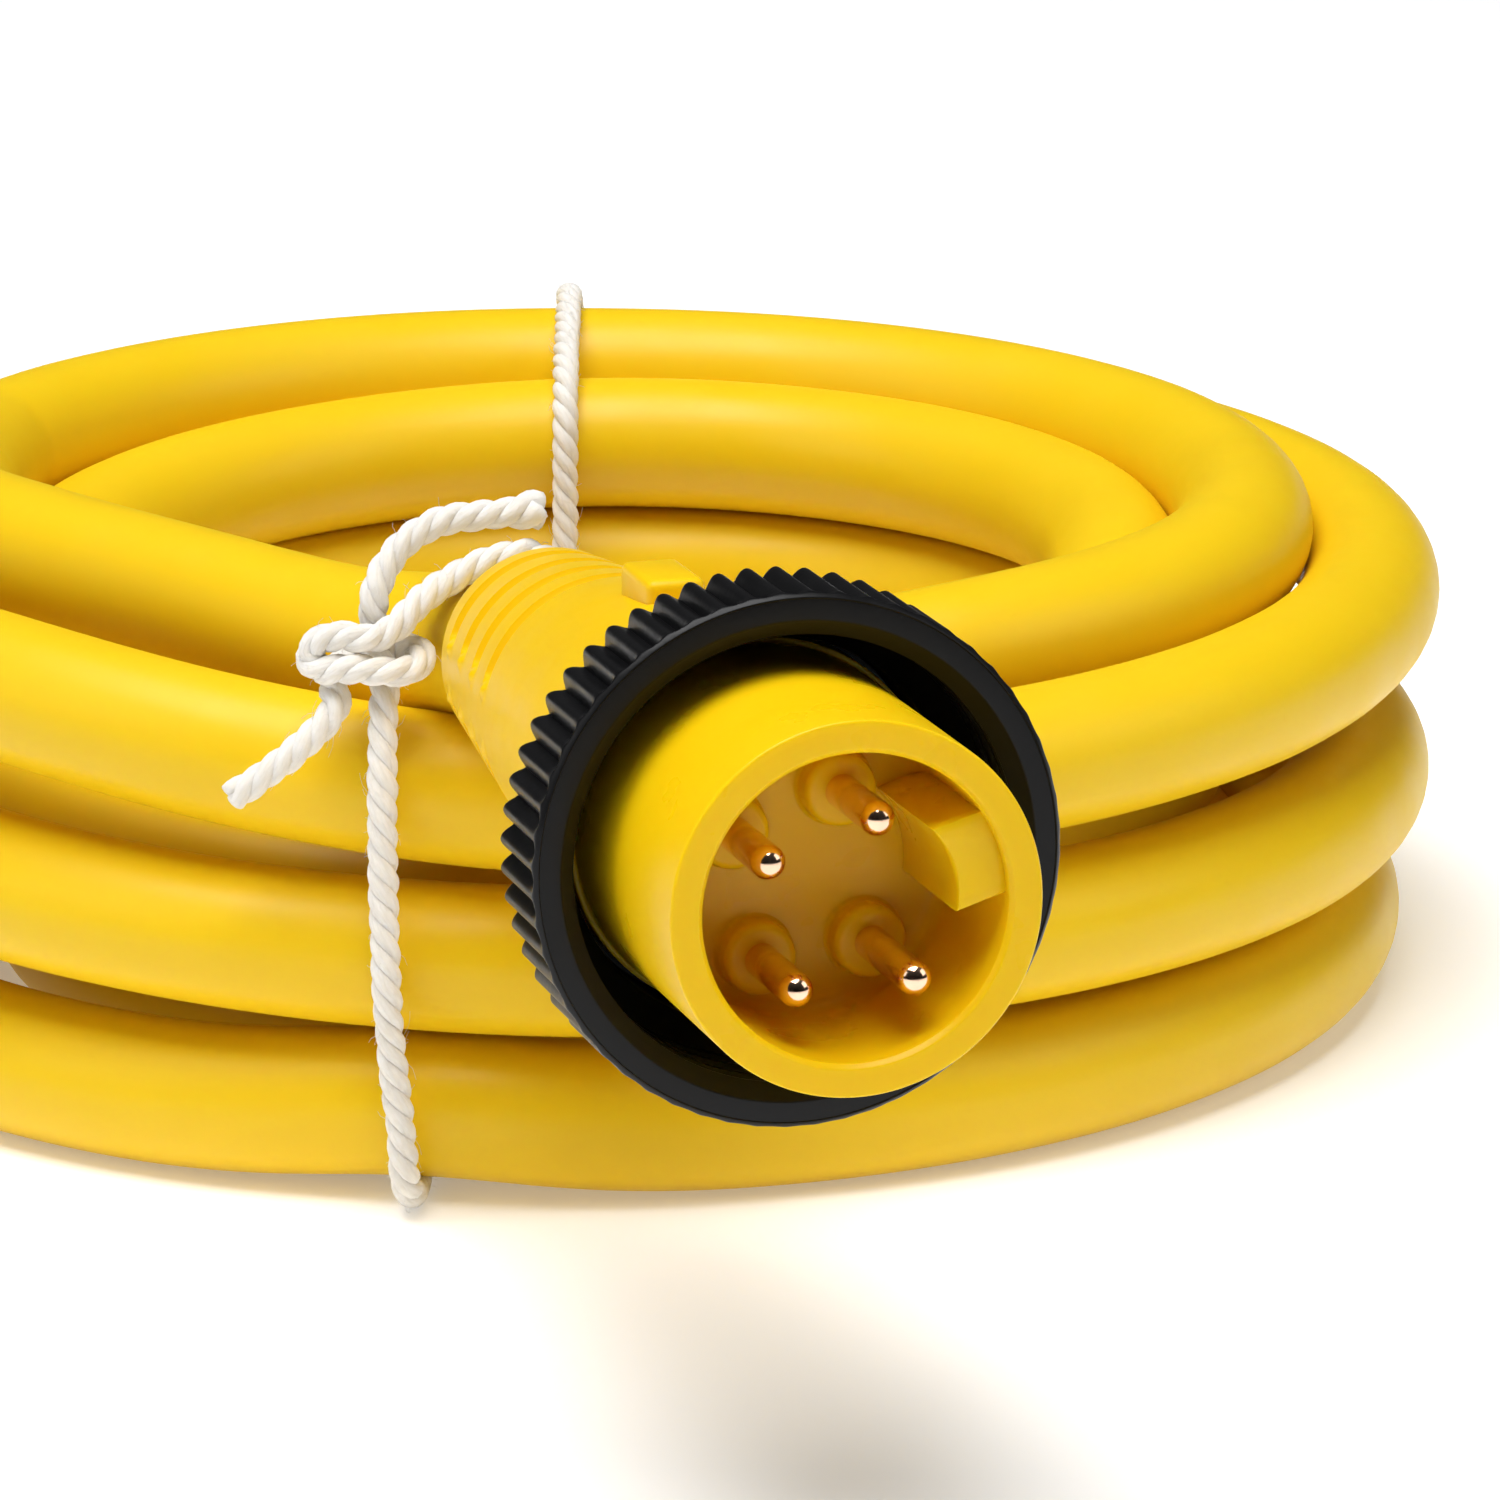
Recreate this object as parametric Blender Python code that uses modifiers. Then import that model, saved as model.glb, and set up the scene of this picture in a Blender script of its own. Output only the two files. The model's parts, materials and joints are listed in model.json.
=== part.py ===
"""A coiled, moulded industrial cordset with a four-pole male circular connector, tied with string.

Metres, +Z up. The coil lies flat on the ground and the connector points away from it, towards -Y.
The origin is the middle of the whole object's footprint, on the ground.
"""

import math

import bmesh
import bpy
from mathutils import Matrix, Vector

MM = 0.001
GAP = 0.3 * MM  # between pieces that touch or fit into each other

# Cable
CABLE_D = 7.8 * MM
WIRE_D = 2.1 * MM  # over the insulation of one conductor
STRAND_D = 1.0 * MM  # the bare stranded copper

# Coil, at the outside of its turns
COIL_OUTER_R = 48.7 * MM
COIL_INNER_R = 26.5 * MM
COIL_HEIGHT = 28.2 * MM
COIL_STEPS = 80
CABLE_SIDES = 3  # bevel resolution of the cable, the string and the conductors
STRING_SIDES = 1
WIRE_SIDES = 2

# Connector: where the cable goes into it, outside the coil and above its top. Its pieces are
# measured along its axis from the front face of the coupling nut
ENTRY_AT = Vector((-0.92 * MM, -COIL_OUTER_R - 1.44 * MM, COIL_HEIGHT + 2.55 * MM))
CONNECTOR_YAW = math.radians(16.0)
CONNECTOR_PITCH = math.radians(2.1)
STEPS = 64

# Coupling nut
NUT_R = 12.45 * MM
NUT_LENGTH = 12.2 * MM
NUT_GRIP = 6.4 * MM  # length of the ribbed collar
NUT_NECK_R = 10.6 * MM
NUT_REAR_R = 9.6 * MM
NUT_THREAD_R = 10.4 * MM
NUT_CHAMFER = 0.75 * MM
NUT_LIP = 2.0 * MM
NUT_LIP_R = 8.0 * MM
NUT_BORE_R = 9.15 * MM  # behind the thread, round the insert's flange
RIB_COUNT = 56
RIB_GROOVE_R = 0.62 * MM
RIB_DEPTH = 0.55 * MM

# Contact insert
BARREL_R = 8.58 * MM
BARREL_WALL = 1.53 * MM
BARREL_BORE_R = BARREL_R - BARREL_WALL
BARREL_REACH = 9.0 * MM  # how far the barrel stands out of the nut
BORE_FLOOR = 0.0 * MM
FLANGE_R = NUT_BORE_R - GAP
FLANGE_LENGTH = 2.4 * MM
SPIGOT_R = 6.0 * MM
SPIGOT_LENGTH = 6.0 * MM
KEY_WIDTH = 4.1 * MM
KEY_HEIGHT = 2.2 * MM  # from the bore's wall to the key's hollow face
KEY_ANGLE = math.radians(17.0)
KEY_SETBACK = 0.7 * MM

# Contacts
PIN_R = 0.8 * MM
PIN_CIRCLE_R = 4.25 * MM
PIN_SHIFT = 0.45 * MM  # the pin circle's centre, off the barrel's
PIN_SHIFT_ANGLE = math.radians(278.0)
PIN_ANGLES = [math.radians(12.0 + turn) for turn in (57.0, 134.0, 225.0)]
GROUND_ANGLE = math.radians(12.0 - 60.0)
PIN_SETBACK = 1.5 * MM
GROUND_SETBACK = 0.4 * MM
COLLAR_R = 1.7 * MM
COLLAR_HEIGHT = 1.4 * MM
CUP_R = 1.05 * MM
CUP_LENGTH = 6.0 * MM
CUP_DEPTH = 4.0 * MM

# Overmoulded body
BODY_REAR = 46.2 * MM  # from the nut's front face to the cable entry
BODY_REAR_R = CABLE_D / 2 + 1.6 * MM
BODY_FRONT_R = 8.65 * MM
BODY_NECK_R = NUT_LIP_R - GAP
CAVITY_R = PIN_CIRCLE_R + PIN_SHIFT + WIRE_D / 2 + 1.0 * MM  # room round the conductors
CABLE_GRIP = 9.0 * MM  # length of jacket held in the body
THROAT = 4.0 * MM  # past the jacket's end, before the cavity widens
CAVITY_REAR = BODY_REAR - CABLE_GRIP - THROAT
GROOVE_FIRST = 3.4 * MM
GROOVE_PITCH = 3.6 * MM
GROOVE_COUNT = 4
GROOVE_TUBE_R = 0.55 * MM
GROOVE_HALF_ANGLE = math.radians(76.0)
TAB_LENGTH = 5.2 * MM
TAB_WIDTH = 2.9 * MM
TAB_HEIGHT = 1.0 * MM
TAB_FROM_REAR = 20.6 * MM
RETAINER_LENGTH = 3.0 * MM
BUNDLE_ANGLE = math.radians(57.0)  # the first conductor's, where the four leave the jacket

# Stations along the connector that follow from the above
FLANGE_FRONT = NUT_LIP - NUT_LENGTH + GAP + FLANGE_LENGTH  # the nut's lip bears on the flange
FLANGE_REAR = FLANGE_FRONT - FLANGE_LENGTH
SPIGOT_REAR = FLANGE_REAR - SPIGOT_LENGTH
WIRE_CUP_R = STRAND_D / 2 + 0.25 * MM
CUP_FRONT = SPIGOT_REAR - GAP
CUP_END = CUP_FRONT - CUP_LENGTH
RETAINER_FRONT = CUP_FRONT - GAP

# String ties, whose points below follow these faces of the coil and half the cable over it
STRING_D = 1.5 * MM
OUT, IN, TOP, HALF = COIL_OUTER_R / MM, COIL_INNER_R / MM, COIL_HEIGHT / MM, CABLE_D / 2 / MM

# Where the cable runs off the coil, in millimetres from the coil's centre, on to the connector
LEAD_ROUTE = [
    (-36.0, 3.0, 26.6),
    (-34.6, -8.0, 27.0),
    (-29.0, -17.0, 27.4),
    (-20.6, -25.4, 27.3),
    (-12.2, -33.3, 27.4),
    (-7.0, -38.6, 28.9),
    (-3.5, -44.0, 30.4),
]
# The other end of the cable, inside the coil, from the coil to the end of the jacket
TAIL_ROUTE = [
    (14.6, 26.4, 4.0),
    (21.6, 19.4, 4.0),
    (24.4, 10.4, 4.0),
    (22.6, 1.6, 4.0),
    (18.2, -5.0, 4.0),
]
# The conductors past the jacket's end: a bundle that turns, drops to the ground and fans out
FAN_TURN_R = 14.0 * MM
FAN_LENGTH = 30.0 * MM
FAN_PITCH = 2.7 * MM
BUNDLE_PITCH = 2.5 * MM
BARE_LENGTH = 7.0 * MM
FAN_PLACES = [(-1, 1, -1.5), (1, 1, 1.5), (-1, -1, -0.5), (1, -1, 0.5)]  # across, up, fanned

# The front string, from the knot down the front, under, up inside the coil and over the lead
FRONT_TIE = [
    (-6.1 - HALF, 1.9 - OUT, TOP + 1.0),
    (-9.4, -0.1 - OUT, TOP - 1.2),
    (-9.1, -0.5 - OUT, TOP - 5.2),
    (-9.0, -0.4 - OUT, TOP - 15.2),
    (-8.6, -0.5 - OUT, 5.5),
    (-8.2, 0.1 - OUT, 2.2),
    (-8.0, 2.7 - OUT, 0.85),
    (-7.8, -(OUT + IN) / 2 - 0.4, 0.85),
    (-7.6, -1.5 - IN, 0.85),
    (-7.4, 1.6 - IN, 2.0),
    (-7.3, 2.2 - IN, 6.0),
    (-7.1, 2.2 - IN, TOP - 13.2),
    (-6.9, 2.2 - IN, TOP - 4.2),
    (-6.8, 1.1 - IN, TOP - 0.6),
    (-6.8, -2.5 - IN, 26.3 + HALF),
    (-7.4, -33.0, 28.8 + HALF),
    (-8.7, -37.0, 30.0 + HALF),
    (-7.1 - HALF, 8.3 - OUT, 28.7 + HALF),
    (-7.5 - HALF, 4.9 - OUT, 26.9 + HALF),
]
KNOT_AT = (-6.1 - HALF, 2.1 - OUT, TOP + 1.4)
KNOT_SIZE = (2.1, 1.7, 1.8)
UPPER_END = [
    (-5.9 - HALF, 2.1 - OUT, 26.7 + HALF),
    (-5.4 - HALF, 1.9 - OUT, 29.0 + HALF),
    (-5.2, 1.3 - OUT, 31.7 + HALF),
    (-1.0, 1.2 - OUT, 33.7 + HALF),
]
LOWER_END = [
    (-6.5 - HALF, 1.5 - OUT, TOP + 1.0),
    (-7.7 - HALF, 0.1 - OUT, TOP - 0.2),
    (-10.1 - HALF, -0.1 - OUT, TOP - 3.0),
    (-13.1 - HALF, 1.2 - OUT, TOP - 6.2),
]

# The back string round the far side of the coil
BACK_TIE = [
    (-1.6, OUT + 1.0, TOP - 6.2),
    (-1.6, OUT + 1.0, TOP - 15.2),
    (-1.6, OUT + 1.0, 4.5),
    (-1.6, OUT - 0.1, 1.8),
    (-1.6, OUT - 2.7, 0.85),
    (-1.6, (OUT + IN) / 2 - 0.6, 0.85),
    (-1.6, IN + 1.5, 0.85),
    (-1.6, IN - 0.5, 1.8),
    (-1.6, IN - 1.1, 4.5),
    (-1.6, IN - 1.1, TOP - 14.2),
    (-1.6, IN - 1.1, TOP - 4.2),
    (-1.6, IN - 0.1, TOP - 0.2),
    (-1.6, IN + 2.9, TOP + 1.1),
    (-1.6, (OUT + IN) / 2, TOP + 1.2),
    (-1.6, OUT - 3.5, TOP + 1.1),
    (-1.6, OUT - 0.1, TOP - 1.2),
]

YELLOW = (0.83, 0.56, 0.02)
WIRE_COLOURS = {
    "black": (0.02, 0.02, 0.02),
    "white": (0.85, 0.85, 0.82),
    "red": (0.62, 0.03, 0.03),
    "green": (0.03, 0.30, 0.08),
}


# ---------------------------------------------------------------- scene and helpers


def clear_scene():
    for thing in list(bpy.data.objects):
        bpy.data.objects.remove(thing, do_unlink=True)


def new_collection(name):
    collection = bpy.data.collections.new(name)
    bpy.context.scene.collection.children.link(collection)
    return collection


def new_material(name, colour, roughness, metallic=0.0):
    material = bpy.data.materials.new(name)
    material.use_nodes = True
    shader = material.node_tree.nodes["Principled BSDF"]
    shader.inputs["Base Color"].default_value = (*colour, 1.0)
    shader.inputs["Roughness"].default_value = roughness
    shader.inputs["Metallic"].default_value = metallic
    return material


def add(name, data, parent, material=None):
    """A part where a material is given, and a cutter where none is."""
    thing = bpy.data.objects.new(name, data)
    thing.parent = parent
    if material:
        data.materials.append(material)
        PARTS.objects.link(thing)
    else:
        thing.hide_render = True
        thing.display_type = "WIRE"
        CUTTERS.objects.link(thing)
    return thing


def turned(name, outline, parent, material=None, steps=STEPS):
    """A closed outline of (radius, height) points turned about its parent's Z, going down the outside."""
    mesh = bpy.data.meshes.new(name)
    points = [(radius, 0.0, height) for radius, height in outline]
    count = len(points)
    mesh.from_pydata(points, [(i, (i + 1) % count) for i in range(count)], [])
    thing = add(name, mesh, parent, material)
    screw = thing.modifiers.new("turn", "SCREW")
    screw.steps = screw.render_steps = steps
    screw.use_merge_vertices = True
    screw.merge_threshold = 1e-6
    screw.use_smooth_shade = True
    return thing


def arc(centre, radius, start, end, count=5):
    """Outline points round a corner; angles in degrees from outward to up."""
    angles = [math.radians(start + (end - start) * i / (count - 1)) for i in range(count)]
    return [
        (centre[0] + radius * math.cos(angle), centre[1] + radius * math.sin(angle))
        for angle in angles
    ]


def tube(name, points, radius, parent, material=None, sides=2, closed=False):
    """A round bar along points; sides is the curve's bevel resolution."""
    curve = bpy.data.curves.new(name, "CURVE")
    curve.dimensions = "3D"
    curve.bevel_depth = radius
    curve.bevel_resolution = sides
    curve.use_fill_caps = True
    spline = curve.splines.new("POLY")
    spline.points.add(len(points) - 1)
    for point, place in zip(spline.points, points):
        point.co = (*place, 1.0)
    spline.use_cyclic_u = closed
    return add(name, curve, parent, material)


def as_mesh(thing):
    """The same object with its curve made a closed mesh, for a Boolean."""
    graph = bpy.context.evaluated_depsgraph_get()
    mesh = bpy.data.meshes.new_from_object(thing.evaluated_get(graph))
    work = bmesh.new()
    work.from_mesh(mesh)
    bmesh.ops.remove_doubles(work, verts=work.verts, dist=1e-7)
    bmesh.ops.recalc_face_normals(work, faces=work.faces)
    work.to_mesh(mesh)
    work.free()
    name, parent, place = thing.name, thing.parent, thing.matrix_world.copy()
    is_part = PARTS in thing.users_collection
    material = thing.data.materials[0] if is_part else None
    bpy.data.objects.remove(thing, do_unlink=True)
    mesh.materials.clear()
    made = add(name, mesh, parent, material)
    made.matrix_world = place
    return made


def rod(name, radius, low, high, parent, material=None, sides=24, at=(0.0, 0.0)):
    """A cylinder along its parent's Z, from low to high."""
    mesh = bpy.data.meshes.new(name)
    work = bmesh.new()
    place = Matrix.Translation((at[0], at[1], (low + high) / 2))
    bmesh.ops.create_cone(
        work, cap_ends=True, segments=sides, radius1=radius, radius2=radius,
        depth=high - low, matrix=place,
    )
    work.to_mesh(mesh)
    work.free()
    return add(name, mesh, parent, material)


def joined(name, things, parent):
    """Several cutters that stay apart, as one cutter."""
    work = bmesh.new()
    for thing in things:
        work.from_mesh(thing.data)
        bpy.data.objects.remove(thing, do_unlink=True)
    mesh = bpy.data.meshes.new(name)
    work.to_mesh(mesh)
    work.free()
    return add(name, mesh, parent)


def cut(thing, cutter, operation="DIFFERENCE"):
    boolean = thing.modifiers.new(operation.lower(), "BOOLEAN")
    boolean.object = cutter
    boolean.operation = operation
    boolean.solver = "EXACT"


def smooth_route(points, step, closed=False):
    """Points about a step apart along the smooth curve through the given points."""
    places = [Vector(point) for point in points]
    count = len(places)
    spans = count if closed else count - 1

    def place(index):
        return places[index % count] if closed else places[min(max(index, 0), count - 1)]

    route = []
    for span in range(spans):
        before, start, end, after = (place(span + shift) for shift in (-1, 0, 1, 2))
        pieces = max(1, round((end - start).length / step))
        for i in range(pieces):
            t = i / pieces
            route.append(
                0.5 * (
                    2 * start + (end - before) * t
                    + (2 * before - 5 * start + 4 * end - after) * t**2
                    + (3 * start - before - 3 * end + after) * t**3
                )
            )
    if not closed:
        route.append(places[-1])
    return route


def in_metres(points):
    return [Vector(point) * MM for point in points]


def longer(route, amount):
    """The route with both ends moved out by an amount."""
    first = route[0] + (route[0] - route[1]).normalized() * amount
    last = route[-1] + (route[-1] - route[-2]).normalized() * amount
    return [first, *route[1:-1], last]


# ---------------------------------------------------------------- where things stand


def connector_matrix():
    """The connector's own Z is its axis, out of the mating end; its Y is up."""
    along = Vector((
        math.sin(CONNECTOR_YAW) * math.cos(CONNECTOR_PITCH),
        -math.cos(CONNECTOR_YAW) * math.cos(CONNECTOR_PITCH),
        math.sin(CONNECTOR_PITCH),
    ))
    right = Vector((0.0, 0.0, 1.0)).cross(along).normalized()
    up = along.cross(right)
    turn = Matrix((right, up, along)).transposed()
    return Matrix.Translation(ENTRY_AT + along * BODY_REAR) @ turn.to_4x4()


def footprint_middle(connector):
    """The middle, in plan, of the box round the connector's nose and the back string."""
    along = connector.col[2].to_3d()
    nose = connector @ Vector((0.0, 0.0, BARREL_REACH))
    front = nose.y - BARREL_R * math.sqrt(1 - along.y**2)
    back = max(y for _, y, _ in BACK_TIE) * MM + STRING_D / 2
    return Vector((0.0, (front + back) / 2, 0.0))


def pin_places():
    """Name, centre and setback of each contact, in the connector's plane."""
    shift = (PIN_SHIFT * math.cos(PIN_SHIFT_ANGLE), PIN_SHIFT * math.sin(PIN_SHIFT_ANGLE))

    def centre(angle):
        return (
            shift[0] + PIN_CIRCLE_R * math.cos(angle),
            shift[1] + PIN_CIRCLE_R * math.sin(angle),
        )

    places = [
        (f"contact_pin_{number}", centre(angle), PIN_SETBACK)
        for number, angle in enumerate(PIN_ANGLES, 1)
    ]
    places.append(("ground_pin", centre(GROUND_ANGLE), GROUND_SETBACK))
    return places


# ---------------------------------------------------------------- connector pieces


def make_coupling_nut(parent, material):
    outline = [
        (NUT_R - 0.3 * MM, 0.0),
        (NUT_R, -0.3 * MM),
        (NUT_R, 0.3 * MM - NUT_GRIP),
        (NUT_R - 0.3 * MM, -NUT_GRIP),
        (NUT_NECK_R, -NUT_GRIP),
        (NUT_REAR_R, 0.3 * MM - NUT_LENGTH),
        (NUT_REAR_R - 0.3 * MM, -NUT_LENGTH),
        (NUT_LIP_R, -NUT_LENGTH),
        (NUT_LIP_R, NUT_LIP - NUT_LENGTH),
        (NUT_BORE_R, NUT_LIP - NUT_LENGTH),
        (NUT_BORE_R, -NUT_GRIP),
        (NUT_THREAD_R, -NUT_GRIP + 1.0 * MM),
        (NUT_THREAD_R, -NUT_CHAMFER),
        (NUT_THREAD_R + NUT_CHAMFER, 0.0),
    ]
    nut = turned("coupling_nut", outline, parent, material, steps=RIB_COUNT * 2)
    grooves = []
    for number in range(RIB_COUNT):
        turn = Matrix.Rotation(2 * math.pi * number / RIB_COUNT, 4, "Z")
        groove = rod("rib_groove", RIB_GROOVE_R, -NUT_GRIP - 2 * MM, -0.9 * MM, None, sides=8)
        lean = Matrix.Rotation(-math.radians(2.5), 4, "Y")
        out = Matrix.Translation((NUT_R + RIB_GROOVE_R - RIB_DEPTH, 0.0, 0.0))
        groove.data.transform(turn @ out @ lean)
        grooves.append(groove)
    cut(nut, joined("rib_grooves", grooves, parent))
    return nut


def make_key(parent):
    """A bar along the bore's wall with parallel sides and a face hollowed about the axis."""
    low, high = BORE_FLOOR - 1 * MM, BARREL_REACH - KEY_SETBACK
    outline = [
        ((BARREL_R + BARREL_BORE_R) / 2, high),
        ((BARREL_R + BARREL_BORE_R) / 2, low),
        (BARREL_BORE_R - KEY_HEIGHT, low),
        (BARREL_BORE_R - KEY_HEIGHT, high),
    ]
    key = turned("key", outline, parent)
    mesh = bpy.data.meshes.new("key_sides")
    work = bmesh.new()
    turn = Matrix.Rotation(KEY_ANGLE, 4, "Z")
    middle = Matrix.Translation((BARREL_R / 2, 0.0, (low + high) / 2))
    size = Matrix.Diagonal((BARREL_R, KEY_WIDTH, high - low + 2 * MM, 1.0))
    bmesh.ops.create_cube(work, size=1.0, matrix=turn @ middle @ size)
    work.to_mesh(mesh)
    work.free()
    cut(key, add("key_sides", mesh, parent), "INTERSECT")
    return key


def make_contact_insert(parent, material):
    reach = BARREL_REACH
    outline = [
        (BARREL_R - 0.25 * MM, reach),
        (BARREL_R, reach - 0.25 * MM),
        (BARREL_R, FLANGE_FRONT),
        (FLANGE_R, FLANGE_FRONT),
        (FLANGE_R, FLANGE_REAR),
        (SPIGOT_R, FLANGE_REAR),
        (SPIGOT_R, SPIGOT_REAR),
        (0.0, SPIGOT_REAR),
        (0.0, BORE_FLOOR),
        (BARREL_BORE_R, BORE_FLOOR),
        (BARREL_BORE_R, reach - 0.2 * MM),
        (BARREL_BORE_R + 0.2 * MM, reach),
    ]
    insert = turned("contact_insert", outline, parent, material)
    cut(insert, make_key(parent), "UNION")
    for name, centre, _ in pin_places():
        collar = rod(
            name + "_collar", COLLAR_R, BORE_FLOOR - 1 * MM, BORE_FLOOR + COLLAR_HEIGHT, parent,
            at=centre,
        )
        cut(insert, collar, "UNION")
    holes = [
        rod(name + "_hole", PIN_R + GAP, SPIGOT_REAR - 1 * MM, reach, parent, sides=16, at=centre)
        for name, centre, _ in pin_places()
    ]
    cut(insert, joined("pin_holes", holes, parent))
    return insert


def make_contact(name, centre, setback, parent, material):
    """A turned contact: round nose, shank through the insert and a solder cup behind it."""
    nose = BARREL_REACH - setback
    outline = arc((0.0, nose - PIN_R), PIN_R, 90, 0, 5)
    outline += [
        (PIN_R, CUP_FRONT),
        (CUP_R, CUP_FRONT),
        (CUP_R, CUP_END),
        (WIRE_CUP_R, CUP_END),
        (WIRE_CUP_R, CUP_END + CUP_DEPTH),
        (0.0, CUP_END + CUP_DEPTH),
    ]
    pin = turned(name, outline, parent, material, steps=16)
    pin.location = (centre[0], centre[1], 0.0)
    return pin


def body_radius(from_rear):
    """The taper of the body, from the cable entry to the shoulder behind the nut."""
    length = BODY_REAR - NUT_LENGTH - GAP
    return BODY_REAR_R + (BODY_FRONT_R - BODY_REAR_R) * from_rear / length


def make_body(parent, material):
    shoulder = -NUT_LENGTH - GAP
    neck_end = FLANGE_REAR - GAP
    bore = CABLE_D / 2 + GAP
    rear = -BODY_REAR
    outline = [
        (BODY_NECK_R, neck_end),
        (BODY_NECK_R, shoulder),
        (BODY_FRONT_R - 0.3 * MM, shoulder),
        (BODY_FRONT_R, shoulder - 0.3 * MM),
        (body_radius(1.2 * MM), rear + 1.2 * MM),
        (body_radius(0.3 * MM) - 0.45 * MM, rear + 0.3 * MM),
        (BODY_REAR_R - 1.1 * MM, rear),
        (bore, rear),
        (bore, -CAVITY_REAR),
        (CAVITY_R, RETAINER_FRONT - RETAINER_LENGTH - 1.0 * MM),
        (CAVITY_R, neck_end),
    ]
    body = turned("overmould_body", outline, parent, material)
    grooves = []
    for side in (0, 1):
        for number in range(GROOVE_COUNT):
            from_rear = GROOVE_FIRST + GROOVE_PITCH * number
            radius = body_radius(from_rear) + GROOVE_TUBE_R * 0.25
            middle = math.pi / 2 + math.pi * side
            angles = [middle + GROOVE_HALF_ANGLE * (i / 8 - 1) for i in range(17)]
            points = [
                (radius * math.cos(angle), radius * math.sin(angle), rear + from_rear)
                for angle in angles
            ]
            grooves.append(as_mesh(tube("grip_groove", points, GROOVE_TUBE_R, None, sides=1)))
    cut(body, joined("grip_grooves", grooves, parent))
    mesh = bpy.data.meshes.new("tab")
    work = bmesh.new()
    start = rear + TAB_FROM_REAR
    low = body_radius(TAB_FROM_REAR) - 0.8 * MM
    top = body_radius(TAB_FROM_REAR + TAB_LENGTH) + TAB_HEIGHT
    bmesh.ops.create_cube(
        work, size=1.0,
        matrix=Matrix.Translation((0.0, (low + top) / 2, start + TAB_LENGTH / 2))
        @ Matrix.Diagonal((TAB_WIDTH, top - low, TAB_LENGTH, 1.0)),
    )
    bmesh.ops.bevel(work, geom=work.edges[:], offset=0.35 * MM, segments=1, affect="EDGES")
    work.to_mesh(mesh)
    work.free()
    cut(body, add("tab", mesh, parent), "UNION")
    return body


def make_retainer(parent, material):
    """The disc that holds the solder cups apart inside the body."""
    low = RETAINER_FRONT - RETAINER_LENGTH
    disc = rod("contact_retainer", CAVITY_R - GAP, low, RETAINER_FRONT, parent, material, 32)
    holes = [
        rod(name + "_seat", CUP_R + GAP, low - 1 * MM, RETAINER_FRONT + 1 * MM, parent,
            sides=16, at=centre)
        for name, centre, _ in pin_places()
    ]
    cut(disc, joined("cup_seats", holes, parent))
    return disc


def make_conductors(parent, materials, copper):
    """Four insulated conductors from the jacket's end to the solder cups, and their bare ends."""
    start = -BODY_REAR + CABLE_GRIP + GAP
    wire_end = CUP_END - GAP
    bundle = WIRE_D * 0.5 * math.sqrt(2) + 0.25 * MM
    for number, ((_, centre, _), colour) in enumerate(zip(pin_places(), WIRE_COLOURS)):
        angle = BUNDLE_ANGLE + number * math.pi / 2
        inner = Vector((bundle * math.cos(angle), bundle * math.sin(angle), 0.0))
        outer = Vector((centre[0], centre[1], 0.0))
        route = [
            inner + Vector((0, 0, start)),
            inner + Vector((0, 0, start + 3.5 * MM)),
            inner.lerp(outer, 0.42) + Vector((0, 0, (start + wire_end) / 2 + 0.5 * MM)),
            outer + Vector((0, 0, wire_end - 2.0 * MM)),
            outer + Vector((0, 0, wire_end)),
        ]
        tube(f"conductor_{colour}", smooth_route(route, 1.5 * MM), WIRE_D / 2, parent,
             materials[colour], WIRE_SIDES)
        rod(f"strands_{colour}", STRAND_D / 2, wire_end + GAP, CUP_END + CUP_DEPTH - GAP,
            parent, copper, 12, centre)


# ---------------------------------------------------------------- cable and string


def lead_route(connector, parent_place):
    """From the coil to where the cable is held in the body, in the coil's frame."""
    to_bench = parent_place.inverted() @ connector
    exit_at = to_bench @ Vector((0.0, 0.0, -BODY_REAR))
    held = to_bench @ Vector((0.0, 0.0, CABLE_GRIP - BODY_REAR))
    return smooth_route(in_metres(LEAD_ROUTE) + [exit_at, held], CABLE_D * 0.7)


def make_coil(parent, material, lead, tail, strings):
    corner = CABLE_D / 2
    low = 1.2 * MM
    outline = arc((COIL_OUTER_R - corner, COIL_HEIGHT - corner), corner, 90, 0)
    outline += arc((COIL_OUTER_R - low, low), low, 0, -90, 3)
    outline += arc((COIL_INNER_R + low, low), low, -90, -180, 3)
    outline += arc((COIL_INNER_R + corner, COIL_HEIGHT - corner), corner, 180, 90)
    coil = turned("cable_coil", outline, parent, material, steps=COIL_STEPS)
    for name, route, diameter, sides, closed in (
        ("lead_channel", longer(lead, GAP), CABLE_D, CABLE_SIDES, False),
        ("tail_channel", longer(tail, GAP), CABLE_D, CABLE_SIDES, False),
        ("front_tie_channel", strings[0], STRING_D, STRING_SIDES, True),
        ("back_tie_channel", strings[1], STRING_D, STRING_SIDES, True),
    ):
        channel = tube(name, route, diameter / 2 + GAP, parent, sides=sides, closed=closed)
        cut(coil, as_mesh(channel))
    return coil


def blend(value, low, high):
    t = min(1.0, max(0.0, (value - low) / (high - low)))
    return t * t * (3 - 2 * t)


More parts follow.
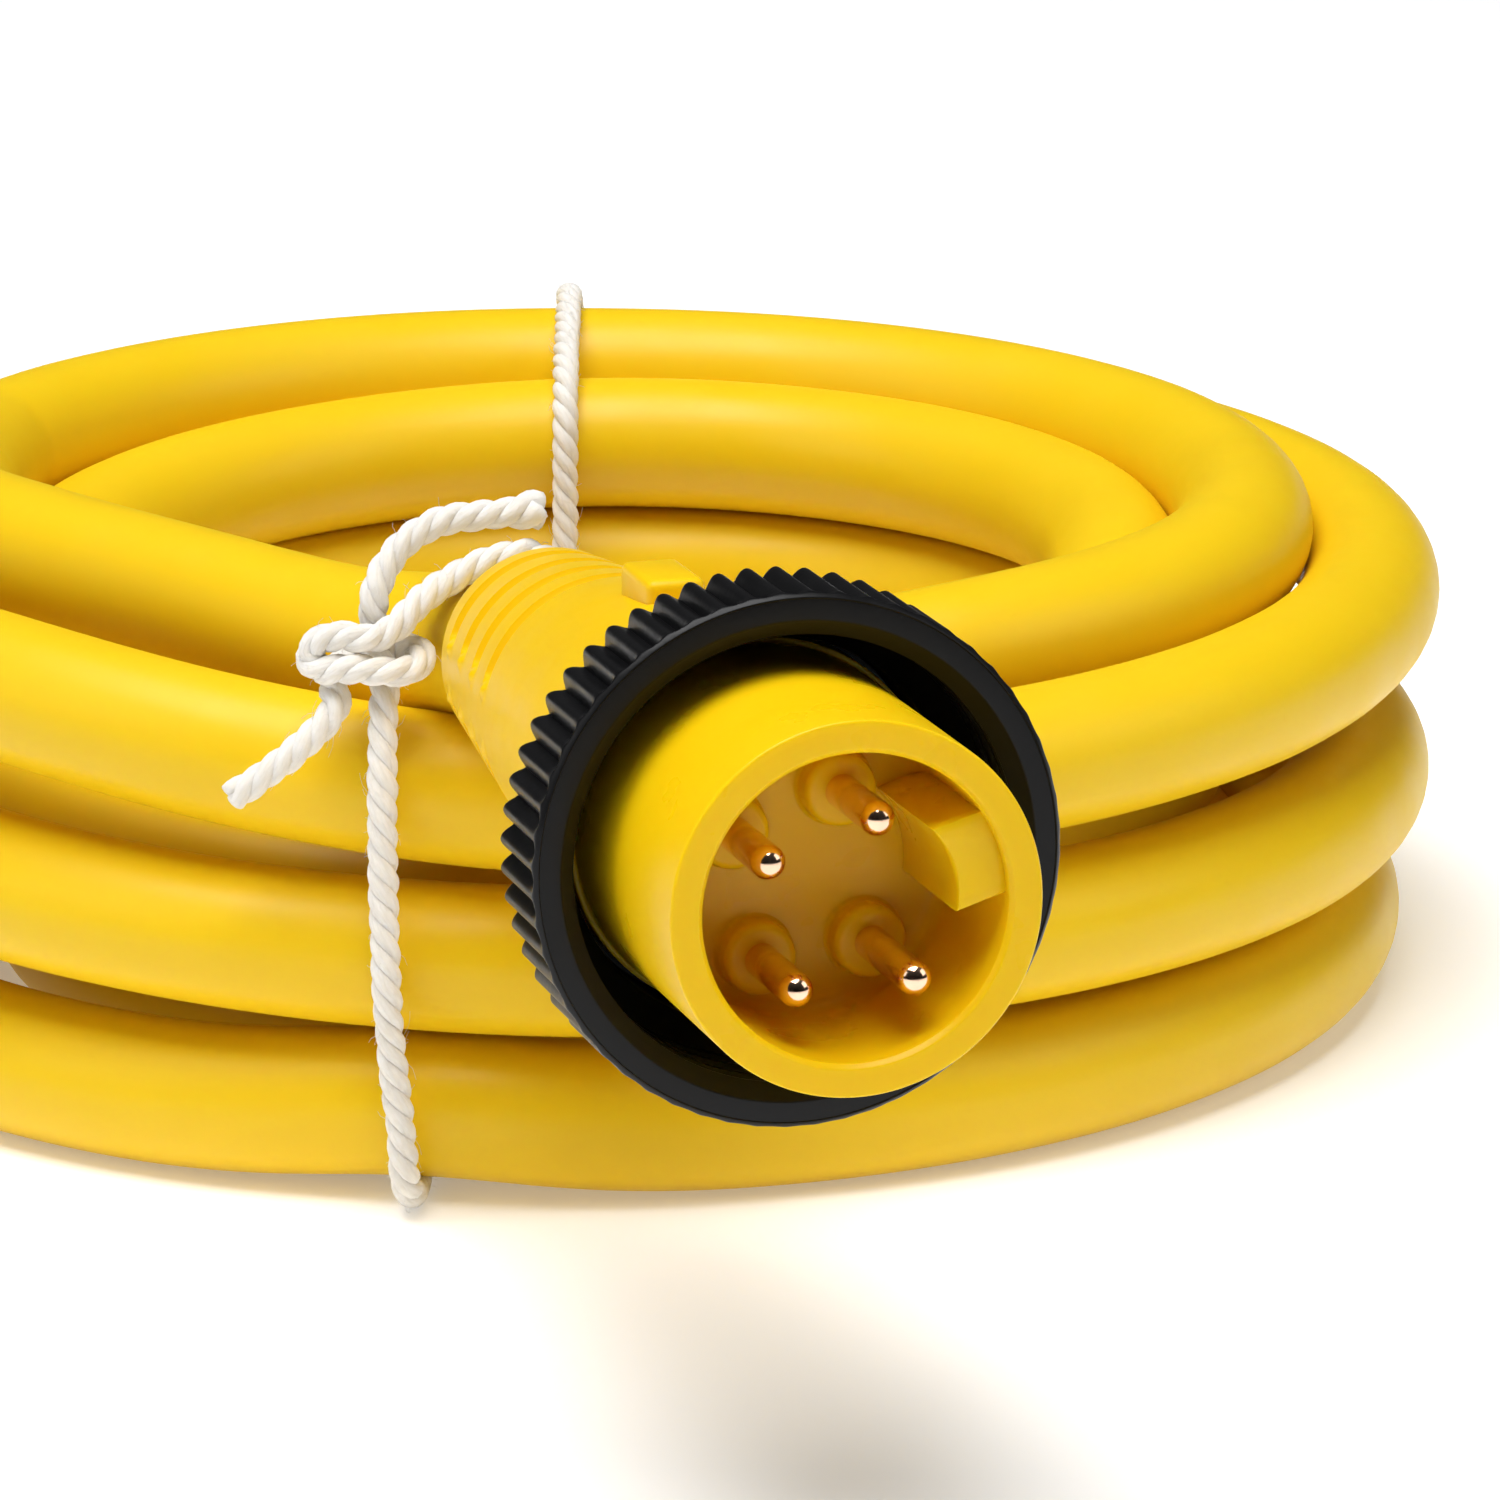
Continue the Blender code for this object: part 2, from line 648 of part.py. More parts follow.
def make_tail_conductors(parent, tail, materials, copper):
    """The four conductors past the end of the jacket, fanned out flat on the ground."""
    end = tail[-1]
    along = (tail[-1] - tail[-2]).normalized()
    inward = Vector((along.y, -along.x, 0.0))
    middle = end + along * GAP + inward * FAN_TURN_R
    ground = WIRE_D / 2 + 0.1 * MM
    for (across, up, fanned), colour in zip(FAN_PLACES, WIRE_COLOURS):
        wire = []
        for step in range(16):
            reach = FAN_LENGTH * step / 15
            spread = blend(reach, 2 * MM, 13 * MM)
            side = across * BUNDLE_PITCH / 2 * (1 - spread) + fanned * FAN_PITCH * spread
            high = end.z + up * BUNDLE_PITCH / 2
            drop = blend(reach, 5 * MM, 17 * MM) if up > 0 else blend(reach, 2 * MM, 9 * MM)
            turn = Matrix.Rotation(-reach / FAN_TURN_R, 3, "Z")
            place = middle + turn @ (-inward * (FAN_TURN_R + side))
            wire.append(Vector((place.x, place.y, high + (ground - high) * drop)))
        tube(f"tail_{colour}", wire, WIRE_D / 2, parent, materials[colour], WIRE_SIDES)
        heading = (wire[-1] - wire[-2]).normalized()
        bare = [wire[-1] + heading * GAP, wire[-1] + heading * BARE_LENGTH]
        tube(f"tail_strands_{colour}", bare, STRAND_D / 2, parent, copper, WIRE_SIDES)


def make_front_tie(parent, material, route):
    """One string: a loop round the coil and the lead, a knot and two free ends."""
    tie = as_mesh(tube("front_tie", route, STRING_D / 2, parent, material, STRING_SIDES, True))
    mesh = bpy.data.meshes.new("knot")
    work = bmesh.new()
    size = [value * MM for value in KNOT_SIZE]
    bmesh.ops.create_uvsphere(
        work, u_segments=16, v_segments=10, radius=1.0,
        matrix=Matrix.Translation(Vector(KNOT_AT) * MM) @ Matrix.Diagonal((*size, 1.0)),
    )
    work.to_mesh(mesh)
    work.free()
    cut(tie, add("knot", mesh, parent), "UNION")
    for name, points in (("upper_end", UPPER_END), ("lower_end", LOWER_END)):
        end = smooth_route(in_metres(points), 2.0 * MM)
        cut(tie, as_mesh(tube(name, end, STRING_D / 2, parent, sides=STRING_SIDES)), "UNION")
    return tie


# ---------------------------------------------------------------- assembly


def main():
    yellow = new_material("cable_jacket", YELLOW, 0.42)
    mould = new_material("moulded_yellow", YELLOW, 0.38)
    black = new_material("nut_black", (0.02, 0.02, 0.022), 0.35)
    plated = new_material("plated_contact", (0.80, 0.62, 0.48), 0.18, 1.0)
    copper = new_material("bare_copper", (0.72, 0.38, 0.22), 0.3, 1.0)
    cotton = new_material("cotton_string", (0.86, 0.84, 0.80), 0.9)
    inner = new_material("inner_plastic", (0.75, 0.72, 0.62), 0.5)
    wires = {name: new_material(f"wire_{name}", colour, 0.45) for name, colour in WIRE_COLOURS.items()}

    placed = connector_matrix()
    bench = bpy.data.objects.new("coil_centre", None)
    bench.location = -footprint_middle(placed)
    PARTS.objects.link(bench)
    connector = bpy.data.objects.new("connector_axis", None)
    connector.parent = bench
    connector.matrix_local = placed
    PARTS.objects.link(connector)
    bpy.context.view_layer.update()

    make_coupling_nut(connector, black)
    make_contact_insert(connector, mould)
    for name, centre, setback in pin_places():
        make_contact(name, centre, setback, connector, plated)
    make_body(connector, mould)
    make_retainer(connector, inner)
    make_conductors(connector, wires, copper)

    lead = lead_route(placed, Matrix.Identity(4))
    tail = smooth_route(in_metres(TAIL_ROUTE), CABLE_D * 0.7)
    front = smooth_route(in_metres(FRONT_TIE), 3.0 * MM, closed=True)
    back = smooth_route(in_metres(BACK_TIE), 3.0 * MM, closed=True)
    make_coil(bench, yellow, lead, tail, (front, back))
    tube("cable_lead", lead, CABLE_D / 2, bench, yellow, CABLE_SIDES)
    tube("cable_tail", tail, CABLE_D / 2, bench, yellow, CABLE_SIDES)
    make_tail_conductors(bench, tail, wires, copper)
    make_front_tie(bench, cotton, front)
    tube("back_tie", back, STRING_D / 2, bench, cotton, STRING_SIDES, closed=True)


clear_scene()
PARTS = new_collection("cordset")
CUTTERS = new_collection("cutters")
CUTTERS.hide_render = True
main()
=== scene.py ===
"""Looks for a coiled, moulded industrial cordset: cable, plug, coupling nut, contacts and string ties."""

import json
import math
import random

import bmesh
import bpy
import numpy as np
from bpy.props import FloatProperty, FloatVectorProperty, IntProperty, PointerProperty
from mathutils import Matrix, Vector


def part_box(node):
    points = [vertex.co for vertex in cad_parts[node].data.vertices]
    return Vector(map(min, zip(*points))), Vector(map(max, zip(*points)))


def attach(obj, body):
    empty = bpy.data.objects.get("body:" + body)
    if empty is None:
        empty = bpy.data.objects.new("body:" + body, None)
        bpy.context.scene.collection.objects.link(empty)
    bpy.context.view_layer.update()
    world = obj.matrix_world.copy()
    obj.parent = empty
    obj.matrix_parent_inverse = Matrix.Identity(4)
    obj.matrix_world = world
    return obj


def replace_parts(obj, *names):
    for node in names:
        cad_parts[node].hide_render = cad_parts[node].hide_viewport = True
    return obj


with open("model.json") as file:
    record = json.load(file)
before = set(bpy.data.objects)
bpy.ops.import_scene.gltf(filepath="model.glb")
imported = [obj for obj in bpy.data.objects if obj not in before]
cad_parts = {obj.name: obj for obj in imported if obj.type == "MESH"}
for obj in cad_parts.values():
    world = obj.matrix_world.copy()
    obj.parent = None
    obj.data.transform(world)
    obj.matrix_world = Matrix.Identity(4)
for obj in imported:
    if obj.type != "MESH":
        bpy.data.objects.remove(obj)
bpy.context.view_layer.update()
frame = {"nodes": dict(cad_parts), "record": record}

bl_info = {
    "name": "Coiled Cordset",
    "version": (1, 0, 0),
    "blender": (4, 5, 0),
    "location": "View3D > Sidebar > Cordset",
    "description": "Builds a coiled moulded cordset tied with string",
    "category": "Add Mesh",
}

MM = 0.001
ROOT, NUT = "cordset", "nut"
SPIN = frame["record"]["behaviour"]["joints"][0]
COIL_LOW, COIL_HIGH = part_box("cable_coil")
COIL_CENTRE = Vector(((COIL_LOW[0] + COIL_HIGH[0]) / 2, (COIL_LOW[1] + COIL_HIGH[1]) / 2, 0.0))

# Connector, along its axis from the nut's front face, in millimetres
NUT_LENGTH, NUT_GRIP, NUT_R, NUT_THREAD_R = 12.2, 6.4, 12.45, 10.4
NUT_NECK_R, NUT_REAR_R, NUT_LIP, NUT_LIP_R, NUT_BORE_R = 10.6, 9.6, 2.0, 8.0, 9.15
RIBS, RIB_DEPTH, RIB_STEPS = 56, 0.66, 12
THREAD_PITCH, THREAD_DEPTH, THREAD_REAR, THREAD_FRONT, THREAD_STEPS = 1.5875, 0.8, -5.4, -0.75, 44
BARREL_R, BARREL_BORE_R, BARREL_REACH = 8.58, 7.05, 9.0
FLANGE_FRONT, FLANGE_REAR, FLANGE_R, INSERT_REAR, INSERT_REAR_R = -7.5, -9.9, 8.85, -15.9, 6.0
KEY_WIDTH, KEY_HEIGHT, KEY_ANGLE, KEY_SETBACK, KEY_ROOT_R = 4.1, 2.2, math.radians(17.0), 0.7, 7.6
PIN_R, PIN_REAR, PIN_CIRCLE_R, PIN_SHIFT, PIN_SHIFT_ANGLE = 0.8, -16.0, 4.25, 0.45, math.radians(278.0)
PIN_ANGLES = {"contact_pin_1": 69.0, "contact_pin_2": 146.0, "contact_pin_3": 237.0, "ground_pin": -48.0}
PIN_SETBACK, GROUND_SETBACK, PIN_SIDES, COLLAR_R, COLLAR_HEIGHT = 1.5, 0.4, 48, 1.7, 1.4
BODY_REAR, BODY_REAR_R, BODY_FRONT_R, CABLE_GRIP = 46.2, 5.5, 8.65, 9.0
NUT_GAP, BODY_MOUTH_R, BODY_CABLE_R = 0.3, 7.7, 3.96
BODY_LENGTH = BODY_REAR - NUT_LENGTH - NUT_GAP
BODY_ENDS = ((1.3, 1.15), (0.35, 0.35))  # length and drop of the rounding at the cable and at the nut
GROOVE_FIRST, GROOVE_PITCH, GROOVE_COUNT, GROOVE_HALF_ANGLE = 3.4, 3.6, 4, math.radians(76.0)
GROOVE_SIDES, GROOVE_HALF_WIDTH, GROOVE_DEPTH = (math.pi / 2, -math.pi / 2), 0.70, 0.62
DOT_HEIGHT, DOT_SIZE, DOT_REACH = 0.22, 0.42, 6.2
TAB_LENGTH, TAB_WIDTH, TAB_HEIGHT, TAB_FROM_REAR = 5.2, 2.9, 1.0, 20.6

# Where the cable runs off the coil to the plug, and its tail inside the coil, in the coil's millimetres
LEAD_ROUTE = [
    (-36.0, 3.0, 26.6), (-34.6, -8.0, 27.0), (-29.0, -17.0, 27.4), (-20.6, -25.4, 27.3),
    (-12.2, -33.3, 27.2), (-7.0, -38.6, 28.0), (-3.5, -44.0, 29.6),
]
TAIL_ROUTE = [(18.2, -5.0, 4.0), (22.6, 1.6, 4.0), (24.4, 10.4, 4.0), (21.6, 19.4, 4.0), (14.6, 26.4, 4.0)]
# The turns: angle from +X in degrees, radius and height of the cable's middle
TURNS = [
    (61, 30.2, 4.0), (180, 30.3, 4.0), (300, 31.6, 4.0), (360, 35.0, 4.0), (421, 38.2, 3.9),
    (480, 41.6, 3.9), (540, 45.8, 3.9), (630, 44.3, 3.9), (720, 42.8, 3.9), (810, 44.3, 3.9),
    (840, 44.8, 4.3), (880, 45.4, 9.5), (905, 45.8, 12.6), (940, 45.6, 14.0), (990, 45.1, 12.8),
    (1080, 44.4, 12.0), (1170, 45.1, 12.0), (1205, 45.1, 11.8), (1230, 45.2, 13.4),
    (1260, 45.2, 18.6), (1285, 45.0, 24.0), (1305, 44.8, 25.0), (1350, 44.8, 21.2),
    (1440, 44.8, 22.5), (1530, 44.8, 22.7), (1550, 43.5, 20.4), (1570, 40.0, 18.1),
    (1600, 37.6, 16.2), (1640, 38.0, 14.2), (1690, 38.0, 13.5), (1740, 36.5, 13.5),
    (1790, 33.5, 14.5), (1830, 30.9, 15.2), (1890, 30.4, 15.2), (1980, 30.4, 14.5),
    (2000, 30.4, 13.0), (2050, 30.4, 12.2), (2080, 30.4, 13.5), (2100, 30.4, 15.5),
    (2130, 30.4, 19.5), (2150, 30.4, 22.2), (2170, 30.4, 23.0), (2250, 30.4, 23.0),
    (2340, 30.4, 21.5), (2370, 30.4, 20.3), (2400, 30.4, 19.8), (2420, 30.8, 20.6),
    (2440, 32.6, 22.8), (2460, 35.0, 25.0), (2500, 37.6, 25.7), (2610, 37.6, 25.7),
    (2680, 37.2, 26.3),
]
TIE_RISE = ((260.0, 0.9), (92.0, 0.9))  # angle and lift of the lowest turns over each string
CABLE_LENGTH, CABLE_STEP, CABLE_SIDES = 1.83, 1.25, 36
# The conductors past the jacket: a bundle that turns, drops to the ground and fans out, in millimetres
WIRE_R, WIRE_SIDES, BARE_R = 1.05, 24, 0.5
FAN_TURN_R, FAN_LENGTH, FAN_STEPS, FAN_PITCH, BUNDLE_PITCH = 14.0, 30.0, 60, 2.7, 2.5
# Each ring of fine copper wires: its radius, how many and how thick; how far back they start
STRAND_RINGS, STRAND_ROOT, STRAND_STEPS = ((0.0, 1, 0.105), (0.2, 6, 0.1), (0.4, 12, 0.1)), 0.8, 14
FAN_PLACES = {"black": (-1, 1, -1.5), "white": (1, 1, 1.5), "red": (-1, -1, -0.5), "green": (1, -1, 0.5)}

# String: the spacing of its points in millimetres and a ply's share of its diameter
STRING_STEP, PLY_SHARE, PLY_SIDES, FIBRE_R = 0.26, 0.272, 12, 0.011
# String routes, in the coil's millimetres
VERTICAL_RUN = [
    (-4.4, -27.0, 27.6), (-5.6, -24.6, 23.0), (-6.6, -24.5, 15.0), (-7.3, -24.5, 6.0),
    (-7.5, -25.4, 1.6), (-7.7, -28.6, 0.6), (-7.8, -38.0, 0.6), (-8.0, -46.2, 0.65),
    (-8.3, -49.0, 2.2), (-8.5, -49.5, 5.5), (-8.9, -49.6, 9.5), (-9.1, -50.0, 13.0),
    (-9.2, -49.6, 17.5), (-9.2, -49.6, 21.5), (-9.2, -49.3, 24.6),
]
OVER_LEAD = [
    (-4.4, -27.0, 27.6), (-3.0, -31.5, 30.4), (-2.2, -37.0, 30.9), (-1.2, -41.6, 30.4),
    (0.9, -44.6, 32.3), (-1.2, -45.8, 34.6), (-3.6, -46.4, 34.6),
]
# The knot, in millimetres across, up and out from its middle on the coil's slanting face
KNOT_AT, KNOT_LEAN = (-9.6, -47.6, 29.9), math.radians(15.3)
RISING_END = [
    (0.45, -2.7, 0.2), (0.5, -1.3, -0.5), (0.3, 0.3, -0.6), (0.0, 1.8, 0.0), (0.0, 2.9, 0.5),
    (0.5, 4.3, 0.5), (1.5, 5.7, 0.3), (3.3, 6.8, 0.0), (5.6, 7.15, -0.2), (8.4, 7.4, -0.4),
]
WRAPPED_END = [
    (3.5, 3.6, 0.2), (2.3, 2.7, 0.9), (1.2, 1.5, 1.4), (0.0, 0.8, 1.6), (-1.5, 0.95, 1.3),
    (-2.7, 0.75, 0.9), (-3.3, 0.0, 0.4), (-2.7, -0.75, 0.8), (-1.2, -0.7, 1.4), (0.5, -0.85, 1.6),
    (1.9, -0.8, 1.2), (2.4, 0.0, 0.2), (1.5, 0.4, -1.1), (0.2, 0.2, -1.8), (-1.6, -0.3, -1.3),
    (-2.2, -1.4, -0.4), (-1.9, -2.4, 0.3), (-2.6, -3.6, 0.6), (-4.6, -5.4, 0.6), (-7.2, -7.2, 0.4),
]
BACK_TIE = [  # a closed loop
    (-1.6, 49.4, 21.0), (-1.6, 49.9, 12.0), (-1.6, 49.0, 4.0), (-1.6, 47.6, 1.4), (-1.6, 44.4, 0.6),
    (-1.6, 37.0, 0.55), (-1.6, 30.0, 0.6), (-1.6, 26.6, 2.0), (-1.6, 25.6, 5.0), (-1.6, 25.8, 14.0),
    (-1.6, 25.8, 23.0), (-1.6, 27.2, 26.4), (-1.6, 30.0, 28.2), (-1.6, 34.6, 29.8),
    (-1.6, 37.6, 30.4), (-1.6, 41.0, 29.6), (-1.6, 46.3, 27.2), (-1.6, 48.6, 24.8),
]

# The camera's aim in the coil's millimetres, its distance in metres and its tilt
CAMERA_AIM, CAMERA_DISTANCE, CAMERA_TILT = (9.53, 0.0, 11.86), 0.450, math.radians(15.3)
FLOOR_HALF, FLOOR_DROP = 3.0, 0.02
# Each light's place, aim and size in metres, and its share of the key light's power
LIGHTS = {
    "key": ((-0.10, -0.16, 0.85), (0.0, 0.0, 0.0), (0.75, 0.55), 1.0),
    "left": ((-0.75, -0.30, 0.45), (0.0, -0.02, 0.02), (0.45, 0.45), 0.10),
    "right": ((0.75, -0.20, 0.50), (0.0, -0.02, 0.02), (0.45, 0.5), 0.12),
}
WIRE_COLOURS = {
    "black": (0.02, 0.02, 0.02), "white": (0.80, 0.80, 0.76),
    "red": (0.55, 0.02, 0.02), "green": (0.02, 0.24, 0.06),
}


# ---------------------------------------------------------------- places


def bench(point):
    """A point in the coil's millimetres, as the frame's metres."""
    return Vector(point) * MM + COIL_CENTRE


def knotted(points):
    """Points of the knot, leaning with the coil's face, in the coil's millimetres."""
    lean, rise = math.sin(KNOT_LEAN), math.cos(KNOT_LEAN)
    x, y, z = KNOT_AT
    return [(x + across, y + up * lean - out * rise, z + up * rise + out * lean) for across, up, out in points]


def connector_matrix():
    """The connector's own Z is its axis, out of the mating end, its Y is up, in millimetres."""
    along = Vector(SPIN["axis"]).normalized()
    right = Vector((0.0, 0.0, 1.0)).cross(along).normalized()
    turn = Matrix((right, along.cross(right), along)).transposed()
    return Matrix.Translation(Vector(SPIN["pos_m"])) @ turn.to_4x4() @ Matrix.Scale(MM, 4)


CONNECTOR = connector_matrix()


def body_radius(run):
    """The tapered body's radius, run being the distance from its cable end."""
    return BODY_REAR_R + (BODY_FRONT_R - BODY_REAR_R) * run / BODY_LENGTH


def pin_places():
    """Name, centre and setback of each contact, in the connector's plane."""
    shift_by = Vector((math.cos(PIN_SHIFT_ANGLE), math.sin(PIN_SHIFT_ANGLE))) * PIN_SHIFT
    for name, degrees in PIN_ANGLES.items():
        angle = math.radians(degrees)
        centre = shift_by + Vector((math.cos(angle), math.sin(angle))) * PIN_CIRCLE_R
        yield name, centre, GROUND_SETBACK if name == "ground_pin" else PIN_SETBACK


def smooth_route(points, step):
    """Places about a step apart along the smooth curve through the points."""
    places = [Vector(point) for point in points]
    last = len(places) - 1
    route = []
    for span in range(last):
        before, start, end, after = (places[min(max(span + shift, 0), last)] for shift in (-1, 0, 1, 2))
        pieces = max(1, round((end - start).length / step))
        for i in range(pieces):
            t = i / pieces
            route.append(
                0.5 * (
                    2 * start + (end - before) * t
                    + (2 * before - 5 * start + 4 * end - after) * t**2
                    + (3 * start - before - 3 * end + after) * t**3
                )
            )
    route.append(places[-1])
    return route


def even_route(route, step):
    """The same line with its points an equal distance apart."""
    line = np.array([tuple(point) for point in route])
    run = np.concatenate([[0], np.cumsum(np.linalg.norm(np.diff(line, axis=0), axis=1))])
    count = max(2, round(run[-1] / step) + 1)
    marks = np.linspace(0, run[-1], count)
    return [Vector(p) for p in np.stack([np.interp(marks, run, line[:, k]) for k in range(3)], axis=1)]


def eased_turns(step=4.0, window=22.0):
    """The turns' stations as an even series, eased so that no station shows as a corner."""
    angles, radii, heights = (np.array(column, float) for column in zip(*TURNS))
    marks = np.arange(angles[0], angles[-1] + step, step)
    spread = int(window / step)
    weights = np.hanning(2 * spread + 3)[1:-1]
    weights /= weights.sum()
    eased = []
    for values in (radii, heights):
        series = np.interp(marks, angles, values)
        padded = np.pad(series, spread, mode="edge")
        eased.append(np.convolve(padded, weights, mode="valid"))
    for angle, lift in TIE_RISE:
        away = (marks - angle + 180) % 360 - 180
        low = np.clip((7.0 - eased[1]) / 2.0, 0, 1)
        eased[1] = eased[1] + lift * low * np.exp(-((away / 11.0) ** 2))
    return zip(np.radians(marks), *eased)


def cable_route():
    """The cable's middle, from where the plug holds it to its tail, in the frame's metres."""
    held = CONNECTOR @ Vector((0, 0, CABLE_GRIP - BODY_REAR))
    entry = CONNECTOR @ Vector((0, 0, -BODY_REAR))
    turns = [bench((r * math.cos(a), r * math.sin(a), z)) for a, r, z in eased_turns()]
    points = [held, entry] + [bench(point) for point in reversed(LEAD_ROUTE)]
    points += turns[::-1] + [bench(point) for point in reversed(TAIL_ROUTE[:-1])]
    return even_route(smooth_route(points, 0.8 * MM), CABLE_STEP * MM)


# ---------------------------------------------------------------- mesh making


def link(name, mesh, body, sharp_angle=None):
    """A smooth-shaded piece that rides a body, with edges sharper than the angle, in degrees, left sharp."""
    thing = bpy.data.objects.new(name, mesh)
    bpy.context.scene.collection.objects.link(thing)
    mesh.shade_smooth()
    if sharp_angle:
        mesh.set_sharp_from_angle(angle=math.radians(sharp_angle))
    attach(thing, body)
    return thing


def shift(thing, centre):
    """Moves a turned piece's mesh across the connector's plane."""
    turn = CONNECTOR.to_3x3()
    thing.data.transform(Matrix.Translation(turn @ Vector((centre[0], centre[1], 0))))


def frames_along(route):
    """A place, side and up direction for each point, turning as little as they can."""
    tangents = []
    for i in range(len(route)):
        ahead, behind = route[min(i + 1, len(route) - 1)], route[max(i - 1, 0)]
        tangents.append((ahead - behind).normalized())
    side = tangents[0].orthogonal().normalized()
    frames = []
    for place, tangent in zip(route, tangents):
        side = (side - tangent * side.dot(tangent)).normalized()
        frames.append((place, side, tangent.cross(side)))
    return frames


def ring_faces(rings, sides):
    """The faces that join each ring of points to the next."""
    faces = []
    for i in range(rings - 1):
        for k in range(sides):
            j = (k + 1) % sides
            faces.append((i * sides + k, i * sides + j, (i + 1) * sides + j, (i + 1) * sides + k))
    return faces


def swept(route, radius, sides, round_ends=True):
    """Vertices, faces and face corners' (along, around) of a tube; radius takes (index, angle)."""
    rings, marks = [], []
    frames = frames_along(route)
    run = 0.0
    for i, (place, side, up) in enumerate(frames):
        if i:
            run += (place - frames[i - 1][0]).length
        marks.append(run)
        for k in range(sides):
            angle = 2 * math.pi * k / sides
            reach = radius(i, angle) if callable(radius) else radius
            rings.append(place + (side * math.cos(angle) + up * math.sin(angle)) * reach)
    faces, corners = ring_faces(len(frames), sides), []
    for i in range(len(frames) - 1):
        for k in range(sides):
            corners += [
                (marks[i], k / sides), (marks[i], (k + 1) / sides),
                (marks[i + 1], (k + 1) / sides), (marks[i + 1], k / sides),
            ]
    if round_ends:
        for first, place, outward in (
            (0, frames[0][0], (route[0] - route[1]).normalized()),
            ((len(frames) - 1) * sides, frames[-1][0], (route[-1] - route[-2]).normalized()),
        ):
            size = (rings[first] - place).length
            rings.append(place + outward * size * 0.28)
            tip = len(rings) - 1
            for k in range(sides):
                j = (k + 1) % sides
                pair = (first + j, first + k) if first == 0 else (first + k, first + j)
                faces.append((*pair, tip))
                mark = marks[0] if first == 0 else marks[-1]
                corners += [(mark, k / sides), (mark, (k + 1) / sides), (mark, 0.5)]
    return rings, faces, corners


def mesh_of(name, parts):
    """One mesh from several swept parts, with their marks as a coordinate layer."""
    vertices, faces, corners = [], [], []
    for part_vertices, part_faces, part_corners in parts:
        start = len(vertices)
        vertices += [tuple(v) for v in part_vertices]
        faces += [tuple(start + i for i in face) for face in part_faces]
        corners += part_corners
    mesh = bpy.data.meshes.new(name)
    mesh.from_pydata(vertices, [], faces)
    coordinates = mesh.uv_layers.new(name="strand")
    flat = np.array(corners, np.float32)
    flat[:, 0] /= MM
    coordinates.data.foreach_set("uv", flat.ravel())
    return mesh


def lathe(name, profile, body, steps, sharp_angle, radius_at=None, closed=True):
    """A turned piece in the connector's frame: (radius, z) points going round, each with a ring."""
    vertices, faces = [], []
    count = len(profile)
    for i in range(steps):
        angle = 2 * math.pi * i / steps
        for k, (radius, z) in enumerate(profile):
            reach = radius_at(k, radius, z, angle) if radius_at else radius
            vertices.append(CONNECTOR @ Vector((reach * math.cos(angle), reach * math.sin(angle), z)))
    for i in range(steps):
        j = (i + 1) % steps
        for k in range(count if closed else count - 1):
            n = (k + 1) % count
            faces.append((i * count + k, j * count + k, j * count + n, i * count + n))
    mesh = bpy.data.meshes.new(name)
    mesh.from_pydata([tuple(v) for v in vertices], [], faces)
    work = bmesh.new()
    work.from_mesh(mesh)
    bmesh.ops.remove_doubles(work, verts=work.verts, dist=1e-7)
    bmesh.ops.recalc_face_normals(work, faces=work.faces)
    work.to_mesh(mesh)
    work.free()
    return link(name, mesh, body, sharp_angle=sharp_angle)


def rounded(corners, count=4):
    """A profile's corners (radius, z, fillet) turned into short arcs."""
    points = []
    total = len(corners)
    for i, (r, z, fillet) in enumerate(corners):
        here = Vector((r, z))
        before = Vector(corners[i - 1][:2]) - here
        after = Vector(corners[(i + 1) % total][:2]) - here
        reach = min(fillet, before.length * 0.45, after.length * 0.45)
        if reach <= 0:
            points.append((r, z))
            continue
        start, end = here + before.normalized() * reach, here + after.normalized() * reach
        for step in range(count + 1):
            t = step / count
            point = start * (1 - t) ** 2 + here * 2 * t * (1 - t) + end * t**2
            points.append((point.x, point.y))
    return points


def smoothstep(value, low, high):
    """0 below low, 1 above high and an eased rise between them."""
    t = min(1.0, max(0.0, (value - low) / (high - low)))
    return t * t * (3 - 2 * t)


# ---------------------------------------------------------------- materials


def new_finish(name):
    """A material with its node tree and its surface shader."""
    finish = bpy.data.materials.new(name)
    finish.use_nodes = True
    return finish, finish.node_tree, finish.node_tree.nodes["Principled BSDF"]


def grain(tree, scale, detail=3.0, source=None, stretch=None):
    """Noise in the frame's own coordinates, or in a named layer's."""
    coordinates = source or tree.nodes.new("ShaderNodeTexCoord").outputs["Object"]
    if stretch:
        mapping = tree.nodes.new("ShaderNodeMapping")
        mapping.inputs["Scale"].default_value = stretch
        tree.links.new(coordinates, mapping.inputs["Vector"])
        coordinates = mapping.outputs["Vector"]
    texture = tree.nodes.new("ShaderNodeTexNoise")
    for key, number in (("Scale", scale), ("Detail", detail), ("Roughness", 0.55)):
        texture.inputs[key].default_value = number
    tree.links.new(coordinates, texture.inputs["Vector"])
    return texture.outputs["Fac"]


def ranged(tree, value, low, high, to_low, to_high):
    """A value's range from low to high, turned into another range."""
    made = tree.nodes.new("ShaderNodeMapRange")
    for key, number in (("From Min", low), ("From Max", high), ("To Min", to_low), ("To Max", to_high)):
        made.inputs[key].default_value = number
    tree.links.new(value, made.inputs["Value"])
    return made.outputs["Result"]


def mixed(tree, amount, one, other):
    """A colour between two, each a colour or a socket."""
    made = tree.nodes.new("ShaderNodeMix")
    made.data_type = "RGBA"
    tree.links.new(amount, made.inputs[0])
    for socket, colour in ((made.inputs[6], one), (made.inputs[7], other)):
        if isinstance(colour, tuple):
            socket.default_value = (*colour, 1.0)
        else:
            tree.links.new(colour, socket)
    return made.outputs[2]


